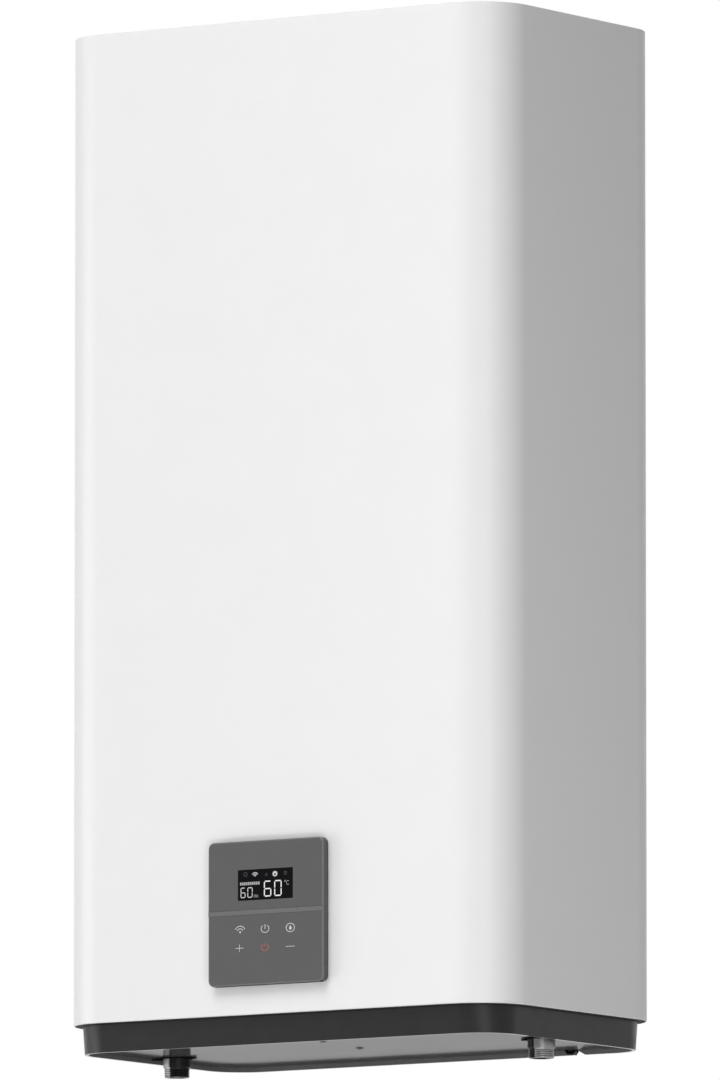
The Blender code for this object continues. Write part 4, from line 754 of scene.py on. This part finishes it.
def build_threaded_pipe(name, side, materials, node):
    """The pipe with a real thread on its lower end, in the CAD pipe's place.

    Its outward half is plain steel, and its inward half is painted near-black steel as painted shade.
    """
    top = (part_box(node)[1][2] - CASING_BOTTOM) / MM
    step = THREAD_PITCH / THREAD_STEPS
    count = int((SHOULDER_LOW - PIPE_END) / step)
    turns = [math.tau * k / THREAD_SIDES for k in range(THREAD_SIDES)]
    levels = [PIPE_END] + [PIPE_END + THREAD_LEAD_IN + step * k for k in range(count)]
    rings = [(z, [thread_radius(z, turn) for turn in turns]) for z in levels]
    plain_rings = (
        (SHOULDER_LOW, PIPE_RADIUS),
        (SHOULDER_LOW, SHOULDER_RADIUS - SHOULDER_CHAMFER),
        (SHOULDER_LOW + SHOULDER_CHAMFER, SHOULDER_RADIUS),
        (SHOULDER_HIGH, SHOULDER_RADIUS),
        (SHOULDER_HIGH, PIPE_RADIUS),
        (top, PIPE_RADIUS),
        (top, PIPE_BORE),
        (PIPE_END, PIPE_BORE),
    )
    rings += [(z, [radius] * THREAD_SIDES) for z, radius in plain_rings]
    bm = bmesh.new()
    loops = []
    for z, radii in rings:
        loop = []
        for radius, turn in zip(radii, turns):
            x, y = side * PIPE_X + radius * math.cos(turn), PIPE_Y + radius * math.sin(turn)
            loop.append(bm.verts.new(mm(x, y, z)))
        loops.append(loop)
    for first, second in zip(loops, loops[1:] + loops[:1]):
        # the inward half of each pipe gets the near-black steel as painted shade
        for turn, face in zip(turns, bridge(bm, first, second)):
            outward = side * math.cos(turn + math.pi / THREAD_SIDES) > 0
            face.material_index = 0 if outward else 1
    pipe = new_piece(name, bm, materials["pipe_steel"])
    pipe.data.materials.append(materials["pipe_painted_shade"])
    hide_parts(node)


# The rubber membrane that closes the cable gland's bore, in millimetres

GLAND_X = 131.0
GLAND_HEIGHT = -18.2
GLAND_SIDES = 24
MEMBRANE_PROFILE = (
    # radius and depth along a thin dish, its edge in the gland and a pilot hole in its middle
    (3.15, 116.2),
    (3.15, 117.0),
    (2.0, 117.6),
    (0.5, 117.9),
    (0.5, 117.5),
    (2.0, 117.1),
)


def build_gland_membrane(materials):
    bm = bmesh.new()
    loops = []
    for radius, depth in MEMBRANE_PROFILE:
        ring = circle_points(GLAND_X, GLAND_HEIGHT, radius, GLAND_SIDES)
        loops.append([bm.verts.new(mm(x, depth, z)) for x, z in ring])
    for first, second in zip(loops, loops[1:] + loops[:1]):
        bridge(bm, first, second)
    new_piece("gland_membrane", bm, materials["black_rubber"])


# Small screws round the back panel, in millimetres

SCREW_RADIUS = 3.4
SCREW_HEIGHT = 1.8
SCREW_SIDES = 16
SCREW_PROFILE_SHARES = ((1.0, 0.0), (1.0, 0.35), (0.85, 0.75), (0.55, 1.0), (0.42, 1.0), (0.3, 0.55))
SIDE_SCREW_X = 165.5
SIDE_SCREW_HEIGHTS = (60, 235, 410, 585, 757)
END_SCREW_COLUMNS = (-90, 0, 90)
END_SCREW_HEIGHTS = (25.0, 793.0)


def add_back_screw(bm, x, z):
    """A pan head with a shallow dish in its top, on the casing's rear face."""
    rings = []
    for radius_share, height_share in SCREW_PROFILE_SHARES:
        depth = CASING_HALF_DEPTH + SCREW_HEIGHT * height_share
        outline = circle_points(x, z, SCREW_RADIUS * radius_share, SCREW_SIDES)
        rings.append([bm.verts.new(mm(u, depth, v)) for u, v in outline])
    for first, second in zip(rings, rings[1:]):
        bridge(bm, first, second)
    bm.faces.new(rings[-1])
    bm.faces.new(rings[0][::-1])


def build_back_screws(materials):
    """Self-tapping screws that hold the back panel's margin to the casing's rear lips."""
    bm = bmesh.new()
    for x in (-SIDE_SCREW_X, SIDE_SCREW_X):
        for z in SIDE_SCREW_HEIGHTS:
            add_back_screw(bm, x, z)
    for z in END_SCREW_HEIGHTS:
        for x in END_SCREW_COLUMNS:
            add_back_screw(bm, x, z)
    new_piece("back_panel_screws", bm, materials["zinc_plate"])


# Stage, lights and camera, in metres

FLOOR_RADIUS = 4.5
FLOOR_SIDES = 96
FLOOR_LEVEL = -1.95
FLOOR_COLOUR = (0.9, 0.9, 0.9)
FLOOR_ROUGHNESS = 0.9
FLOOR_GLOW = 0.4
AMBIENT = 0.12
BACKDROP = 1.0
HEATER_MIDDLE = (0.0, -0.15, -0.3)
LIGHTS = (
    # name, place, size, power, aim
    ("top_front", (0.0, -3.0, 3.0), (3.0, 3.0), 113.6, HEATER_MIDDLE),
    ("front", (-0.915, -4.455, 0.636), (4.4, 4.4), 12.2, HEATER_MIDDLE),
    ("left", (-3.09, -1.793, -0.3), (2.0, 2.0), 18.0, HEATER_MIDDLE),
    ("low_left", (-2.6, -1.6, -1.75), (1.6, 1.6), 26.8, HEATER_MIDDLE),
    ("low_right", (1.6, -2.2, -1.75), (1.2, 1.2), 25.0, HEATER_MIDDLE),
    ("right_side", (1.0, -1.0, -0.3), (0.3, 1.8), 2.8, (0.2, -0.15, -0.3)),
)


def seen_factor(tree):
    """One for camera, glossy and transmission rays, and zero for the rest."""
    path = tree.nodes.new("ShaderNodeLightPath")
    seen = path.outputs["Is Camera Ray"]
    for ray in ("Is Glossy Ray", "Is Transmission Ray"):
        either = tree.nodes.new("ShaderNodeMath")
        either.operation = "MAXIMUM"
        tree.links.new(seen, either.inputs[0])
        tree.links.new(path.outputs[ray], either.inputs[1])
        seen = either.outputs[0]
    return seen


def floor_material():
    """Pale floor that keeps shadows. Camera, glossy and glass rays see it paler than it lights."""
    material, shader = principled("pale_floor", FLOOR_COLOUR, FLOOR_ROUGHNESS, {"Emission Color": WHITE})
    tree = material.node_tree
    strength = tree.nodes.new("ShaderNodeMath")
    strength.operation = "MULTIPLY"
    strength.inputs[1].default_value = FLOOR_GLOW
    tree.links.new(seen_factor(tree), strength.inputs[0])
    tree.links.new(strength.outputs[0], shader.inputs["Emission Strength"])
    return material


def build_floor():
    bm = bmesh.new()
    bmesh.ops.create_circle(bm, cap_ends=True, radius=FLOOR_RADIUS, segments=FLOOR_SIDES)
    mesh = bpy.data.meshes.new("floor")
    bm.to_mesh(mesh)
    bm.free()
    floor = bpy.data.objects.new("floor", mesh)
    floor.location = (0, 0, FLOOR_LEVEL)
    bpy.context.scene.collection.objects.link(floor)
    floor.data.materials.append(floor_material())


def build_world():
    """Plain dim light all round, seen as white by camera, glossy and glass rays only."""
    world = bpy.data.worlds.new("studio")
    world.use_nodes = True
    bpy.context.scene.world = world
    tree = world.node_tree
    mix = tree.nodes.new("ShaderNodeMix")
    mix.data_type = "FLOAT"
    mix.inputs["A"].default_value = AMBIENT
    mix.inputs["B"].default_value = BACKDROP
    background = tree.nodes["Background"]
    background.inputs["Color"].default_value = WHITE
    tree.links.new(seen_factor(tree), mix.inputs["Factor"])
    tree.links.new(mix.outputs["Result"], background.inputs["Strength"])


def build_lights():
    for name, place, size, power, aim in LIGHTS:
        data = bpy.data.lights.new(name, "AREA")
        data.shape = "ELLIPSE" if size[0] == size[1] else "RECTANGLE"
        data.size, data.size_y = size
        data.energy = power
        lamp = bpy.data.objects.new(name, data)
        lamp.location = place
        lamp.rotation_euler = (Vector(aim) - Vector(place)).to_track_quat("-Z", "Y").to_euler()
        bpy.context.scene.collection.objects.link(lamp)


def build_camera():
    data = bpy.data.cameras.new("camera")
    data.lens = LENS
    data.sensor_width = SENSOR
    camera = bpy.data.objects.new("camera", data)
    camera.location = CAMERA_PLACE
    camera.rotation_euler = (math.radians(90 - CAMERA_ELEVATION), 0, math.radians(CAMERA_AZIMUTH))
    bpy.context.scene.collection.objects.link(camera)
    bpy.context.scene.camera = camera


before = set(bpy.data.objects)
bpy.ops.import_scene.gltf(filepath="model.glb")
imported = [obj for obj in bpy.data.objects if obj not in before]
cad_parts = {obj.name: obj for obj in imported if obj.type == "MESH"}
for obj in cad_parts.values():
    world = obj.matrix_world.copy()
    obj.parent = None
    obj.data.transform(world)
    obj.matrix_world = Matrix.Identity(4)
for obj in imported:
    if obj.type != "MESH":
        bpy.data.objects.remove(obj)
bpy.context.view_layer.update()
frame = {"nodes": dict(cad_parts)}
bpy.context.scene.view_settings.view_transform = "Standard"
build_camera()
build_floor()
build_world()
build_lights()
MATERIALS = make_materials()
dress_nodes(frame["nodes"], MATERIALS)
build_stripe(MATERIALS)
build_keys(MATERIALS)
build_display(MATERIALS)
build_threaded_pipe("hot_pipe_threaded", -1, MATERIALS, "hot_pipe")
build_threaded_pipe("cold_pipe_threaded", 1, MATERIALS, "cold_pipe")
build_gland_membrane(MATERIALS)
build_back_screws(MATERIALS)
